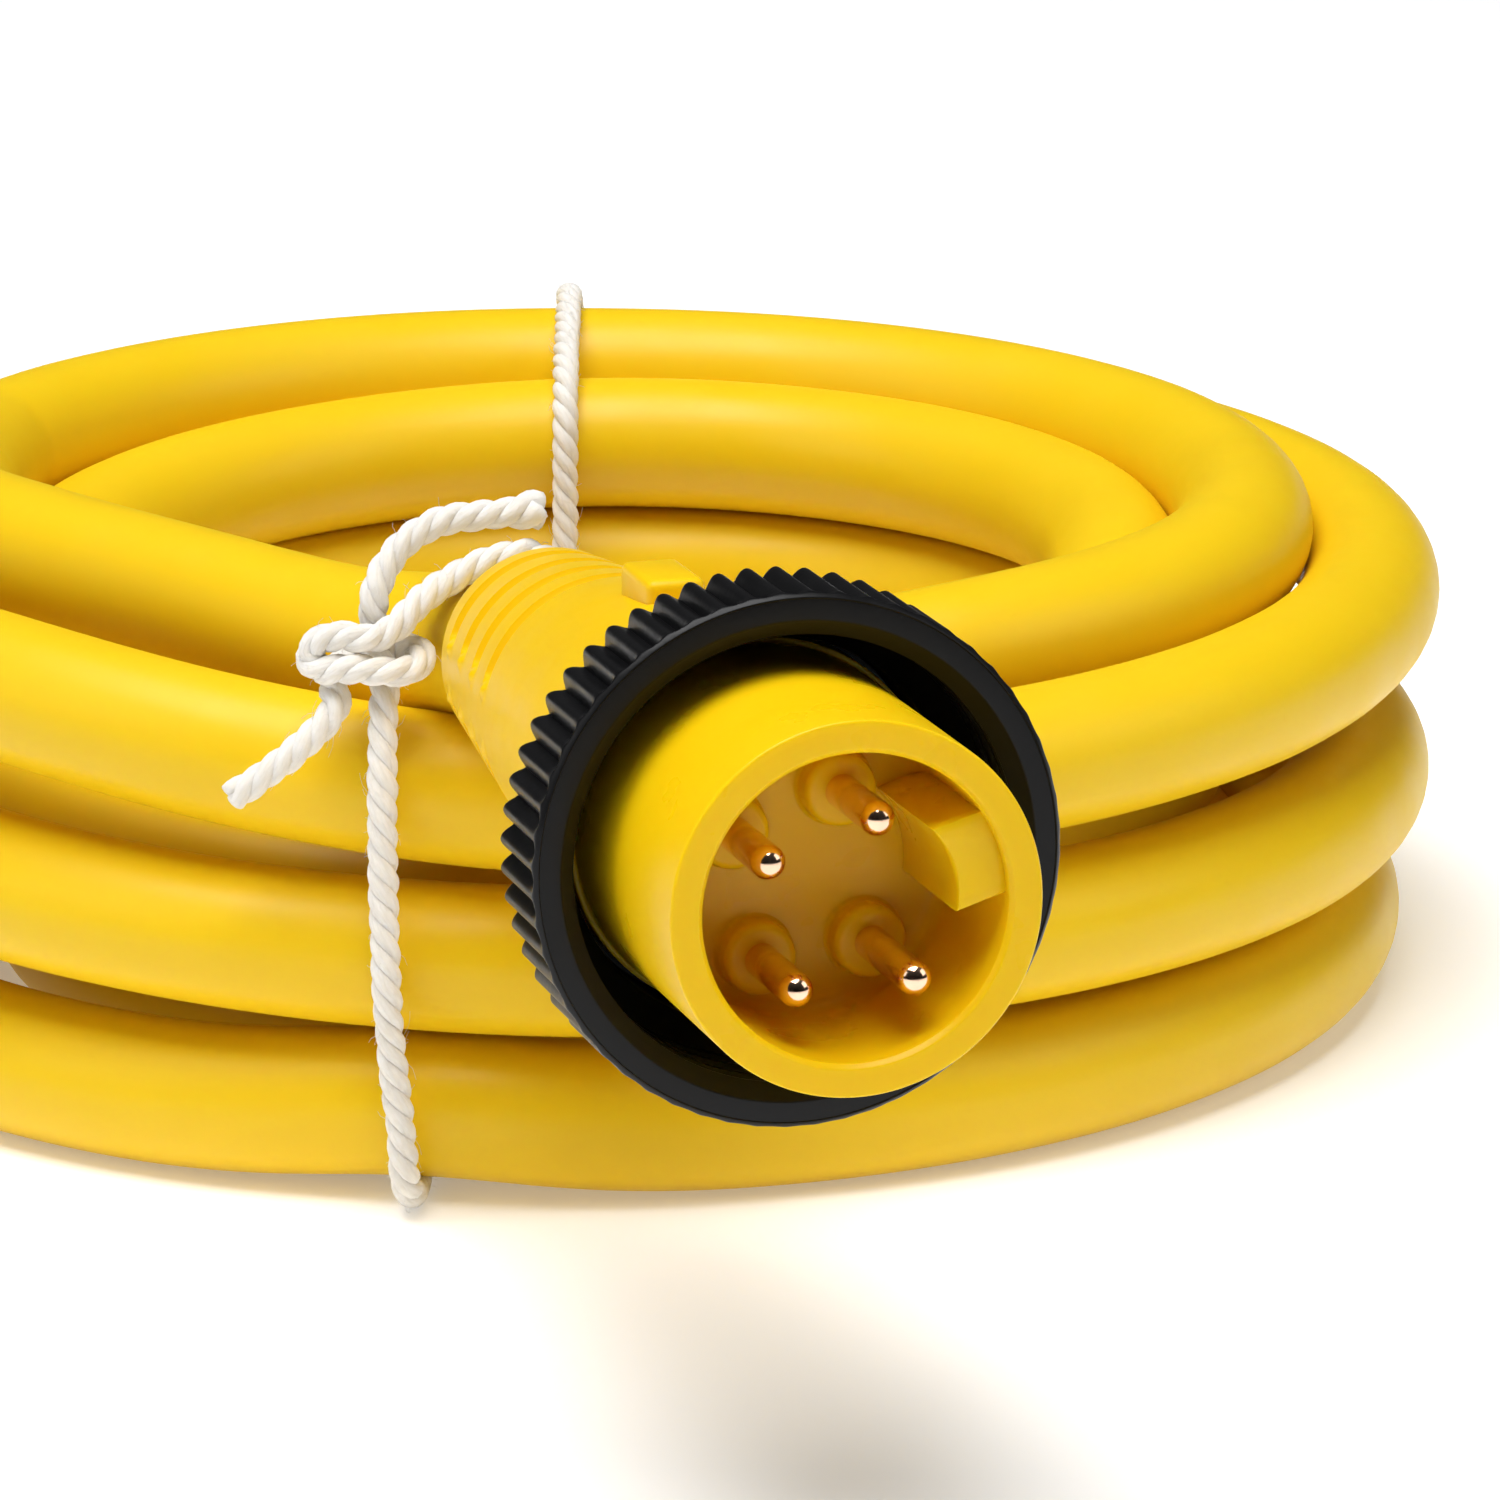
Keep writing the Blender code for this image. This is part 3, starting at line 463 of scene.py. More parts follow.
def bumped(tree, shader, *layers):
    """Bump layers of (height, strength, distance in metres), one over the other."""
    below = None
    for height, strength, distance in layers:
        bump = tree.nodes.new("ShaderNodeBump")
        bump.inputs["Strength"].default_value = strength
        bump.inputs["Distance"].default_value = distance
        tree.links.new(height, bump.inputs["Height"])
        if below:
            tree.links.new(below, bump.inputs["Normal"])
        below = bump.outputs["Normal"]
    tree.links.new(below, shader.inputs["Normal"])


def moulded_finish(name, colour, deep, roughness, bleed=0.12):
    """Satin plastic: a faint cloudiness, a fine moulded grain and uneven gloss."""
    finish, tree, shader = new_finish(name)
    cloud = grain(tree, 55.0, 4.0)
    speck = grain(tree, 900.0, 2.0)
    base = mixed(tree, ranged(tree, cloud, 0.3, 0.7, 0.0, 0.35), colour, deep)
    base = mixed(tree, ranged(tree, speck, 0.72, 0.80, 0.0, 0.25), base, deep)
    gloss = ranged(tree, grain(tree, 260.0), 0.3, 0.7, roughness - 0.05, roughness + 0.07)
    tree.links.new(base, shader.inputs["Base Color"])
    tree.links.new(gloss, shader.inputs["Roughness"])
    shader.inputs["Subsurface Weight"].default_value = bleed
    shader.inputs["Subsurface Radius"].default_value = (1.0, 0.42, 0.06)
    shader.inputs["Subsurface Scale"].default_value = 0.0022
    shader.inputs["Specular IOR Level"].default_value = 0.19
    bumped(tree, shader, (grain(tree, 2600.0, 2.0), 0.10, 0.00005), (grain(tree, 160.0), 0.25, 0.00008))
    return finish


def jacket_finish(colour, deep):
    """Extruded cable jacket: drawn lines along it and a soft, slightly dusty satin."""
    finish, tree, shader = new_finish("cable_jacket")
    layer = tree.nodes.new("ShaderNodeUVMap")
    layer.uv_map = "strand"
    along = grain(tree, 1.0, 2.0, source=layer.outputs["UV"], stretch=(0.02, 26.0, 1.0))
    cloud = grain(tree, 40.0, 5.0)
    speck = grain(tree, 1300.0, 2.0)
    base = mixed(tree, ranged(tree, cloud, 0.3, 0.7, 0.0, 0.45), colour, deep)
    base = mixed(tree, ranged(tree, speck, 0.74, 0.80, 0.0, 0.30), base, deep)
    tree.links.new(base, shader.inputs["Base Color"])
    tree.links.new(ranged(tree, grain(tree, 180.0), 0.3, 0.7, 0.36, 0.48), shader.inputs["Roughness"])
    shader.inputs["Subsurface Weight"].default_value = 0.14
    shader.inputs["Subsurface Radius"].default_value = (1.0, 0.42, 0.05)
    shader.inputs["Subsurface Scale"].default_value = 0.0028
    shader.inputs["Specular IOR Level"].default_value = 0.28
    fine, wavy = grain(tree, 2200.0, 2.0), grain(tree, 70.0)
    bumped(tree, shader, (along, 0.20, 0.00005), (fine, 0.10, 0.00004), (wavy, 0.30, 0.00018))
    return finish


def nut_finish(colour):
    """Black satin with a faint moulded haze and lighter rubbed spots."""
    finish, tree, shader = new_finish("nut_black")
    haze = grain(tree, 500.0, 4.0)
    rub = grain(tree, 1500.0, 2.0)
    base = mixed(tree, ranged(tree, haze, 0.35, 0.75, 0.0, 0.5), colour, (0.007, 0.007, 0.0075))
    base = mixed(tree, ranged(tree, rub, 0.76, 0.82, 0.0, 0.35), base, (0.03, 0.03, 0.033))
    tree.links.new(base, shader.inputs["Base Color"])
    tree.links.new(ranged(tree, haze, 0.3, 0.7, 0.28, 0.40), shader.inputs["Roughness"])
    shader.inputs["Specular IOR Level"].default_value = 0.20
    bumped(tree, shader, (grain(tree, 3200.0, 2.0), 0.14, 0.00004), (grain(tree, 420.0), 0.16, 0.00006))
    return finish


def metal_finish(name, colour, deep, roughness):
    """Polished metal with fine turning marks and a warm, uneven tarnish."""
    finish, tree, shader = new_finish(name)
    tarnish = grain(tree, 900.0, 4.0)
    base = mixed(tree, ranged(tree, tarnish, 0.35, 0.75, 0.0, 0.7), colour, deep)
    gloss = ranged(tree, grain(tree, 2400.0), 0.3, 0.7, roughness * 0.7, roughness * 1.5)
    tree.links.new(base, shader.inputs["Base Color"])
    tree.links.new(gloss, shader.inputs["Roughness"])
    shader.inputs["Metallic"].default_value = 1.0
    bumped(tree, shader, (grain(tree, 4200.0, 2.0), 0.10, 0.00002))
    return finish


def cotton_finish(colour):
    """Spun cotton: fibres along each ply, with a soft, fluffy edge."""
    finish, tree, shader = new_finish("cotton_string")
    layer = tree.nodes.new("ShaderNodeUVMap")
    layer.uv_map = "strand"
    fibre = grain(tree, 1.0, 3.0, source=layer.outputs["UV"], stretch=(1.4, 14.0, 1.0))
    slub = grain(tree, 900.0, 3.0)
    base = mixed(tree, ranged(tree, fibre, 0.3, 0.7, 0.0, 0.6), colour, (0.70, 0.66, 0.60))
    base = mixed(tree, ranged(tree, slub, 0.55, 0.8, 0.0, 0.5), base, (0.93, 0.92, 0.90))
    tree.links.new(base, shader.inputs["Base Color"])
    tree.links.new(ranged(tree, slub, 0.3, 0.7, 0.82, 0.98), shader.inputs["Roughness"])
    shader.inputs["Sheen Weight"].default_value = 0.35
    shader.inputs["Sheen Roughness"].default_value = 0.5
    shader.inputs["Subsurface Weight"].default_value = 0.25
    shader.inputs["Subsurface Radius"].default_value = (1.0, 0.85, 0.65)
    shader.inputs["Subsurface Scale"].default_value = 0.0006
    bumped(tree, shader, (fibre, 0.7, 0.00010), (grain(tree, 5200.0, 2.0), 0.35, 0.00005))
    return finish


def insulation_finish(name, colour):
    """Glossy plastic with a little clouding."""
    finish, tree, shader = new_finish(name)
    deep = tuple(value * 0.72 for value in colour)
    base = mixed(tree, ranged(tree, grain(tree, 300.0, 4.0), 0.3, 0.7, 0.0, 0.6), colour, deep)
    tree.links.new(base, shader.inputs["Base Color"])
    tree.links.new(ranged(tree, grain(tree, 900.0), 0.3, 0.7, 0.28, 0.42), shader.inputs["Roughness"])
    bumped(tree, shader, (grain(tree, 2400.0, 2.0), 0.12, 0.00004))
    return finish


def floor_finish(colour):
    """Matt white paper, faintly lit of itself as a light table is."""
    finish, tree, shader = new_finish("studio_sweep")
    deep = tuple(value * 0.99 for value in colour)
    base = mixed(tree, ranged(tree, grain(tree, 3.0), 0.3, 0.7, 0.0, 1.0), colour, deep)
    tree.links.new(base, shader.inputs["Base Color"])
    shader.inputs["Roughness"].default_value = 0.85
    shader.inputs["Specular IOR Level"].default_value = 0.15
    shader.inputs["Emission Color"].default_value = (1.0, 1.0, 1.0, 1.0)
    shader.inputs["Emission Strength"].default_value = 0.22
    return finish


def finished(thing, finish):
    """The piece, in this finish alone."""
    thing.data.materials.clear()
    thing.data.materials.append(finish)
    return thing


# ---------------------------------------------------------------- what a user would change


class CordsetCable(bpy.types.PropertyGroup):
    diameter: FloatProperty(name="Diameter", description="Outside the jacket", default=7.8 * MM, unit="LENGTH")
    colour: FloatVectorProperty(
        name="Jacket", description="Colour of the jacket", default=(0.85, 0.565, 0.006), size=3, subtype="COLOR"
    )
    shade: FloatVectorProperty(
        name="Shade", description="Deeper colour in it", default=(0.80, 0.50, 0.004), size=3, subtype="COLOR"
    )
    bare: FloatProperty(
        name="Bare length", description="Stripped length of each conductor", default=7.0 * MM, unit="LENGTH"
    )


class CordsetPlug(bpy.types.PropertyGroup):
    colour: FloatVectorProperty(
        name="Moulding", description="Body and insert", default=(0.87, 0.55, 0.003), size=3, subtype="COLOR"
    )
    shade: FloatVectorProperty(
        name="Shade", description="Deeper colour in it", default=(0.83, 0.48, 0.002), size=3, subtype="COLOR"
    )
    nut: FloatVectorProperty(
        name="Nut", description="Colour of the nut", default=(0.0035, 0.0035, 0.004), size=3, subtype="COLOR"
    )
    plating: FloatVectorProperty(
        name="Plating", description="Colour of contacts", default=(0.95, 0.66, 0.47), size=3, subtype="COLOR"
    )


class CordsetString(bpy.types.PropertyGroup):
    diameter: FloatProperty(name="Diameter", description="Over the plies", default=1.5 * MM, unit="LENGTH")
    lay: FloatProperty(name="Lay", description="Length of one turn of a ply", default=3.7 * MM, unit="LENGTH")
    colour: FloatVectorProperty(
        name="Cotton", description="Colour of the string", default=(0.88, 0.85, 0.80), size=3, subtype="COLOR"
    )
    fibres: IntProperty(name="Loose fibres", description="Number of stray fibres", default=900, min=0)


class CordsetStage(bpy.types.PropertyGroup):
    floor: FloatVectorProperty(
        name="Floor", description="Colour of the floor", default=(0.95, 0.95, 0.95), size=3, subtype="COLOR"
    )
    lens: FloatProperty(name="Lens", description="Focal length in millimetres", default=188.07, min=20.0)
    key: FloatProperty(name="Key light", description="Power of the main light", default=10.0, subtype="POWER")


# ---------------------------------------------------------------- operators


class CORDSET_OT_stage(bpy.types.Operator):
    """Camera, floor and soft studio light"""

    bl_idname = "cordset.stage"
    bl_label = "Stage"

    def execute(self, context):
        sizes = context.scene.cordset_stage
        lens = bpy.data.cameras.new("camera")
        lens.lens, lens.sensor_width = sizes.lens, 36.0
        lens.clip_start, lens.clip_end = 0.01, 20.0
        back = Vector((0.0, -math.cos(CAMERA_TILT), math.sin(CAMERA_TILT)))
        camera = bpy.data.objects.new("camera", lens)
        camera.location = bench(CAMERA_AIM) + back * CAMERA_DISTANCE
        camera.rotation_mode = "QUATERNION"
        camera.rotation_quaternion = (-back).to_track_quat("-Z", "Y")
        context.scene.collection.objects.link(camera)
        context.scene.camera = camera
        self.floor(context, tuple(sizes.floor))
        for name, (place, aim, size, share) in LIGHTS.items():
            data = bpy.data.lights.new(name, "AREA")
            data.shape, data.size, data.size_y, data.energy = "RECTANGLE", *size, sizes.key * share
            light = bpy.data.objects.new(name, data)
            light.location = place
            light.rotation_mode = "QUATERNION"
            light.rotation_quaternion = (Vector(aim) - Vector(place)).to_track_quat("-Z", "Y")
            context.scene.collection.objects.link(light)
        self.world(context)
        context.scene.view_settings.view_transform = "Standard"
        return {"FINISHED"}

    def floor(self, context, colour):
        """A wide flat floor just under the cable."""
        mesh = bpy.data.meshes.new("floor")
        corners = [(x * FLOOR_HALF, y * FLOOR_HALF, 0) for x, y in ((-1, -1), (1, -1), (1, 1), (-1, 1))]
        mesh.from_pydata(corners, [], [(0, 1, 2, 3)])
        floor = bpy.data.objects.new("floor", mesh)
        floor.location.z = -FLOOR_DROP * MM
        context.scene.collection.objects.link(floor)
        finished(floor, floor_finish(colour))

    def world(self, context):
        """A white room, dimmer on one side and below."""
        world = bpy.data.worlds.new("studio")
        context.scene.world = world
        world.use_nodes = True
        tree = world.node_tree
        place = tree.nodes.new("ShaderNodeTexCoord")
        facing = tree.nodes.new("ShaderNodeVectorMath")
        facing.operation = "DOT_PRODUCT"
        facing.inputs[1].default_value = (0.0, 0.50, 0.9)
        tree.links.new(place.outputs["Generated"], facing.inputs[0])
        strength = ranged(tree, facing.outputs["Value"], -0.35, 0.9, 0.03, 1.25)
        tree.links.new(strength, tree.nodes["Background"].inputs["Strength"])


class CORDSET_OT_cable(bpy.types.Operator):
    """The cable, from the plug round its turns to the stripped end"""

    bl_idname = "cordset.cable"
    bl_label = "Cable"

    def execute(self, context):
        sizes = context.scene.cordset_cable
        route = cable_route()
        rng = random.Random(7)
        phase = [rng.uniform(0, 6.3) for _ in range(4)]

        def jacket(index, angle):
            """The jacket's radius, swelling by some hundredths of a millimetre."""
            run = index * CABLE_STEP
            swell = 0.022 * math.sin(run / 9.0 + 2 * angle + phase[0])
            swell += 0.018 * math.sin(run / 27.0 + phase[1]) * math.sin(angle + phase[2])
            return sizes.diameter / 2 + swell * MM

        cable = link("cable", mesh_of("cable", [swept(route, jacket, sides=CABLE_SIDES)]), ROOT)
        finished(cable, jacket_finish(tuple(sizes.colour), tuple(sizes.shade)))
        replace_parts(cable, "cable_coil", "cable_lead", "cable_tail")
        return {"FINISHED"}


class CORDSET_OT_conductors(bpy.types.Operator):
    """Insulation and copper of the conductors"""

    bl_idname = "cordset.conductors"
    bl_label = "Conductors"

    def execute(self, context):
        bare = context.scene.cordset_cable.bare / MM
        finishes = {name: insulation_finish("wire_" + name, colour) for name, colour in WIRE_COLOURS.items()}
        copper = metal_finish("bare_copper", (0.86, 0.44, 0.26), (0.66, 0.30, 0.16), 0.30)
        rng = random.Random(11)
        for name, wire in self.fan().items():
            tube = swept(wire, WIRE_R * MM, sides=WIRE_SIDES, round_ends=False)
            mesh = mesh_of("wire_" + name, [tube, self.mouth(wire)])
            shell = link("wire_" + name, mesh, ROOT, sharp_angle=50)
            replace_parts(finished(shell, finishes[name]), "tail_" + name)
            bundle = link("copper_" + name, mesh_of("copper_" + name, self.strands(wire, bare, rng)), ROOT)
            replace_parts(finished(bundle, copper), "tail_strands_" + name)
        for name in frame["nodes"]:
            thing = bpy.data.objects[name]
            if name.startswith("strands_"):
                finished(thing, copper)
            elif name.startswith("conductor_"):
                finished(thing, finishes[name.split("_")[1]])
                thing.data.shade_smooth()
        finished(bpy.data.objects["contact_retainer"], insulation_finish("inner_plastic", (0.72, 0.69, 0.60)))
        return {"FINISHED"}

    def fan(self):
        """Each conductor's middle line, from the jacket's end to its own insulation's end."""
        tail = cable_route()
        along = (tail[-1] - tail[-2]).normalized()
        inward = Vector((along.y, -along.x, 0.0))
        laid = WIRE_R + 0.1
        middle = tail[-1] + along * 0.3 * MM + inward * FAN_TURN_R * MM
        lines = {}
        for name, (across, up, fanned) in FAN_PLACES.items():
            line = []
            for step in range(FAN_STEPS + 1):
                reach = FAN_LENGTH * step / FAN_STEPS
                spread = smoothstep(reach, 2.0, 13.0)
                side = across * BUNDLE_PITCH / 2 * (1 - spread) + fanned * FAN_PITCH * spread
                high = tail[-1].z / MM + up * BUNDLE_PITCH / 2
                drop = smoothstep(reach, 5.0, 17.0) if up > 0 else smoothstep(reach, 2.0, 9.0)
                turn = Matrix.Rotation(-reach / FAN_TURN_R, 3, "Z")
                place = middle + turn @ (-inward * (FAN_TURN_R + side) * MM)
                line.append(Vector((place.x, place.y, (high + (laid - high) * drop) * MM)))
            lines[name] = line
        return lines

    def mouth(self, wire):
        """The cut end of the insulation, a ring that the copper comes out of."""
        heading = (wire[-1] - wire[-2]).normalized()
        rings = ((0.0, WIRE_R), (0.01, BARE_R * 1.3), (-STRAND_ROOT, BARE_R * 1.25))
        side = heading.orthogonal().normalized()
        up = heading.cross(side)
        vertices = []
        for run, size in rings:
            for k in range(WIRE_SIDES):
                angle = 2 * math.pi * k / WIRE_SIDES
                out = (side * math.cos(angle) + up * math.sin(angle)) * size
                vertices.append(wire[-1] + (heading * run + out) * MM)
        faces = ring_faces(len(rings), WIRE_SIDES)
        return vertices, faces, [(0.0, 0.0)] * 4 * len(faces)

    def strands(self, wire, bare, rng):
        """Nineteen fine wires laid round each other, a few of them sprung out at the tip."""
        heading = (wire[-1] - wire[-2]).normalized()
        side = heading.orthogonal().normalized()
        up = heading.cross(side)
        parts = []
        for ring, count, fine in STRAND_RINGS:
            for number in range(count):
                spring = rng.uniform(0.0, 0.25) * ring
                line = []
                for step in range(STRAND_STEPS + 1):
                    run = step / STRAND_STEPS
                    angle = 2 * math.pi * (number / count + run * 0.55)
                    reach = ring + spring * run**3
                    out = (side * math.cos(angle) + up * math.sin(angle)) * reach
                    line.append(wire[-1] + (heading * (run * bare - STRAND_ROOT * (1 - run)) + out) * MM)
                parts.append(swept(line, fine * MM, sides=7))
        return parts


class CORDSET_OT_nut(bpy.types.Operator):
    """The ribbed coupling nut with its inside thread"""

    bl_idname = "cordset.nut"
    bl_label = "Coupling nut"

    def execute(self, context):
        finish = nut_finish(tuple(context.scene.cordset_plug.nut))
        steps = RIBS * RIB_STEPS
        nut = lathe("coupling_nut_shell", self.profile(), NUT, steps, sharp_angle=40, radius_at=self.ribbed)
        finished(nut, finish)
        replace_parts(nut, "coupling_nut")
        return {"FINISHED"}

    def profile(self):
        """The outline round the nut's section, with extra points along the ribs and the thread."""
        face_r = NUT_R - 0.28
        profile = rounded([
            (face_r, 0.0, 0.10), (NUT_R, -0.30, 0.14), (NUT_R, -NUT_GRIP + 0.3, 0.2),
            (NUT_R - 0.35, -NUT_GRIP, 0.15), (NUT_NECK_R, -NUT_GRIP, 0.3),
            (NUT_REAR_R, 0.4 - NUT_LENGTH, 0.4), (NUT_REAR_R - 0.4, -NUT_LENGTH, 0.2),
            (NUT_LIP_R, -NUT_LENGTH, 0.15), (NUT_LIP_R, NUT_LIP - NUT_LENGTH, 0.1),
            (NUT_BORE_R, NUT_LIP - NUT_LENGTH, 0.1), (NUT_BORE_R, -NUT_GRIP, 0.1),
        ])
        thread_step = (THREAD_FRONT - THREAD_REAR) / THREAD_STEPS
        profile += [(NUT_THREAD_R, THREAD_REAR + i * thread_step) for i in range(THREAD_STEPS + 1)]
        mouth = rounded([(NUT_THREAD_R, -0.7, 0.0), (NUT_THREAD_R + 0.75, 0.0, 0.08), (face_r, 0.0, 0.0)])
        profile += mouth[:-1]
        dense = []
        for (r0, z0), (r1, z1) in zip(profile, profile[1:] + profile[:1]):
            ribs = min(r0, r1) > NUT_R - 0.02 and z0 - z1 > 2
            pieces = 14 if ribs else 1
            dense += [(r0 + (r1 - r0) * i / pieces, z0 + (z1 - z0) * i / pieces) for i in range(pieces)]
        return dense

    def ribbed(self, _, radius, z, angle):
        """The radius there, with the ribs' valleys and the thread taken out."""
        if z >= -NUT_GRIP - 0.01 and radius > NUT_R - 0.6:
            wave = (angle * RIBS / (2 * math.pi)) % 1.0
            valley = 1.0 - math.sqrt(math.sin(math.pi * wave) ** 2 + 0.012)
            return radius - valley * RIB_DEPTH * smoothstep(-z, 0.2, 0.7)
        if abs(radius - NUT_THREAD_R) < 1e-6 and THREAD_REAR <= z <= THREAD_FRONT + 0.01:
            turn = (z / THREAD_PITCH - angle / (2 * math.pi)) % 1.0
            depth = smoothstep(1.0 - abs(2 * turn - 1.0), 0.15, 0.85)
            fade = smoothstep(z, THREAD_REAR, THREAD_REAR + 0.5) * smoothstep(-z, -THREAD_FRONT - 0.01, 1.0)
            return radius + THREAD_DEPTH * depth * fade
        return radius


class CORDSET_OT_insert(bpy.types.Operator):
    """Barrel, key, flange and collars of the moulded contact insert"""

    bl_idname = "cordset.insert"
    bl_label = "Contact insert"

    def execute(self, context):
        sizes = context.scene.cordset_plug
        finish = moulded_finish("insert_yellow", tuple(sizes.colour), tuple(sizes.shade), 0.30, bleed=0.22)
        corners = [
            (BARREL_R, BARREL_REACH, 0.16), (BARREL_R, FLANGE_FRONT, 0.3), (FLANGE_R, FLANGE_FRONT, 0.2),
            (FLANGE_R, FLANGE_REAR, 0.2), (INSERT_REAR_R, FLANGE_REAR, 0.2),
            (INSERT_REAR_R, INSERT_REAR, 0.4), (0.001, INSERT_REAR, 0.0),
            (0.001, 0.0, 0.0), (BARREL_BORE_R, 0.0, 0.9), (BARREL_BORE_R, BARREL_REACH - 0.25, 0.05),
            (BARREL_BORE_R + 0.22, BARREL_REACH, 0.06),
        ]
        shell = lathe("insert_barrel", rounded(corners), ROOT, steps=192, sharp_angle=50)
        finished(shell, finish)
        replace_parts(shell, "contact_insert")
        finished(self.key(), finish)
        rim = rounded([
            (COLLAR_R + 0.35, -0.1, 0.0), (COLLAR_R, 0.1, 0.3), (COLLAR_R, COLLAR_HEIGHT, 0.5),
            (PIN_R - 0.05, COLLAR_HEIGHT + 0.02, 0.0),
        ], count=6)
        for name, centre, _ in pin_places():
            collar = lathe(name + "_collar", rim[::-1], ROOT, steps=PIN_SIDES, sharp_angle=70, closed=False)
            shift(collar, centre)
            finished(collar, finish)
        return {"FINISHED"}

    def key(self):
        """A bar along the barrel's wall with parallel sides and a face hollowed about the axis."""
        face, half, count = BARREL_BORE_R - KEY_HEIGHT, KEY_WIDTH / 2, 14
        near, far = math.asin(half / face), math.asin(half / KEY_ROOT_R)
        section = [(KEY_ROOT_R, far * (2 * i / count - 1)) for i in range(count + 1)]
        section += [(face, near * (1 - 2 * i / count)) for i in range(count + 1)]
        section = [Vector((r * math.cos(a + KEY_ANGLE), r * math.sin(a + KEY_ANGLE), 0)) for r, a in section]
        middle = sum(section, Vector()) / len(section)
        top, sides = BARREL_REACH - KEY_SETBACK, len(section)
        # height and inset of each ring, the last few rounding the key's edge
        stations = [(-0.4, 0.0), (top - 0.35, 0.0), (top - 0.16, 0.03), (top - 0.04, 0.12), (top, 0.28)]
        vertices = []
        for z, inset in stations:
            for point in section:
                inward = (middle - point).normalized() * inset
                vertices.append(CONNECTOR @ (point + inward + Vector((0, 0, z))))
        faces = ring_faces(len(stations), sides)
        faces.append(tuple((len(stations) - 1) * sides + k for k in range(sides)))
        mesh = bpy.data.meshes.new("insert_key")
        mesh.from_pydata([tuple(v) for v in vertices], [], faces)
        return link("insert_key", mesh, ROOT, sharp_angle=32)


class CORDSET_OT_contacts(bpy.types.Operator):
    """Round-nosed plated contacts"""

    bl_idname = "cordset.contacts"
    bl_label = "Contacts"

    def execute(self, context):
        plating = tuple(context.scene.cordset_plug.plating)
        finish = metal_finish("plated_contact", plating, (0.80, 0.50, 0.33), 0.13)
        for name, centre, setback in pin_places():
            nose = BARREL_REACH - setback
            outline = [(0.0005, nose)]
            for angle in np.linspace(0.12, math.pi / 2, 14):
                outline.append((PIN_R * math.sin(angle), nose - PIN_R + PIN_R * math.cos(angle)))
            outline += [(PIN_R, nose - 2.5), (PIN_R, 2.0), (PIN_R, -0.3), (PIN_R, PIN_REAR)]
            pin = lathe(name + "_turned", outline, ROOT, steps=PIN_SIDES, sharp_angle=70, closed=False)
            shift(pin, centre)
            finished(pin, finish)
            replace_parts(pin, name)
        return {"FINISHED"}


class CORDSET_OT_body(bpy.types.Operator):
    """The tapered overmoulded body with its grip grooves, dots and tab"""

    bl_idname = "cordset.body"
    bl_label = "Overmoulded body"

    def execute(self, context):
        sizes = context.scene.cordset_plug
        finish = moulded_finish("moulded_yellow", tuple(sizes.colour), tuple(sizes.shade), 0.34)
        body = self.shell()
        finished(body, finish)
        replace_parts(body, "overmould_body")
        finished(self.tab(), finish)
        finished(self.entry(), finish)
        return {"FINISHED"}

    def shell(self):
        """The tapered skin, from its mouth round the cable to its mouth round the insert."""
        rows = 300
        profile = [(BODY_CABLE_R, 0.02 - BODY_REAR)]
        for row in range(rows + 1):
            run = BODY_LENGTH * row / rows
            radius = body_radius(run)
            for left, (length, drop) in zip((run, BODY_LENGTH - run), BODY_ENDS):
                if left < length:
                    radius -= drop * (1 - math.sqrt(max(0.0, 1 - (1 - left / length) ** 2)))
            profile.append((radius, run - BODY_REAR))
        profile.append((BODY_MOUTH_R, BODY_LENGTH - BODY_REAR))
        return lathe(
            "body_shell", profile, ROOT, steps=288, sharp_angle=60, closed=False,
            radius_at=lambda _, radius, z, angle: radius + self.relief(z + BODY_REAR, angle),
        )

    def relief(self, run, angle):
        """Height of the grip grooves, whose ends rise out, and of the small dots at those ends."""
        def off(middle):
            return (angle - middle + math.pi) % (2 * math.pi) - math.pi

        along = [run - GROOVE_FIRST - GROOVE_PITCH * number for number in range(GROOVE_COUNT)]
        nearest = min(abs(distance) for distance in along) / GROOVE_HALF_WIDTH
        away = min(abs(off(middle)) for middle in GROOVE_SIDES)
        end = 1.0 - smoothstep(away, GROOVE_HALF_ANGLE - 0.14, GROOVE_HALF_ANGLE)
        groove = GROOVE_DEPTH * math.sqrt(max(0.0, 1 - nearest**2)) * end
        tip = GROOVE_HALF_ANGLE + 0.02
        across = min(abs(off(middle + sign * tip)) for middle in GROOVE_SIDES for sign in (-1, 1)) * DOT_REACH
        spread = math.hypot(across, nearest * GROOVE_HALF_WIDTH)
        return DOT_HEIGHT * math.exp(-((spread / DOT_SIZE) ** 2)) - groove

    def tab(self):
        """The small block on top that shows which way round the plug is."""
        low = body_radius(TAB_FROM_REAR) - 0.8
        top = body_radius(TAB_FROM_REAR + TAB_LENGTH) + TAB_HEIGHT
        mesh = bpy.data.meshes.new("body_tab")
        work = bmesh.new()
        place = Matrix.Translation((0, (low + top) / 2, TAB_FROM_REAR + TAB_LENGTH / 2 - BODY_REAR))
        size = Matrix.Diagonal((TAB_WIDTH, top - low, TAB_LENGTH, 1.0))
        bmesh.ops.create_cube(work, size=1.0, matrix=place @ size)
        bmesh.ops.bevel(work, geom=work.edges[:], offset=0.45, segments=4, profile=0.5, affect="EDGES")
        work.to_mesh(mesh)
        work.free()
        mesh.transform(CONNECTOR)
        return link("body_tab", mesh, ROOT, sharp_angle=50)

    def entry(self):
        """The small moulded collar where the cable goes in."""
        outline = rounded([
            (3.93, 0.6 - BODY_REAR, 0.0), (3.95, -BODY_REAR - 0.45, 0.2),
            (4.35, -BODY_REAR - 0.3, 0.3), (4.5, 0.5 - BODY_REAR, 0.0),
        ])
        return lathe("body_entry", outline, ROOT, steps=96, sharp_angle=60)


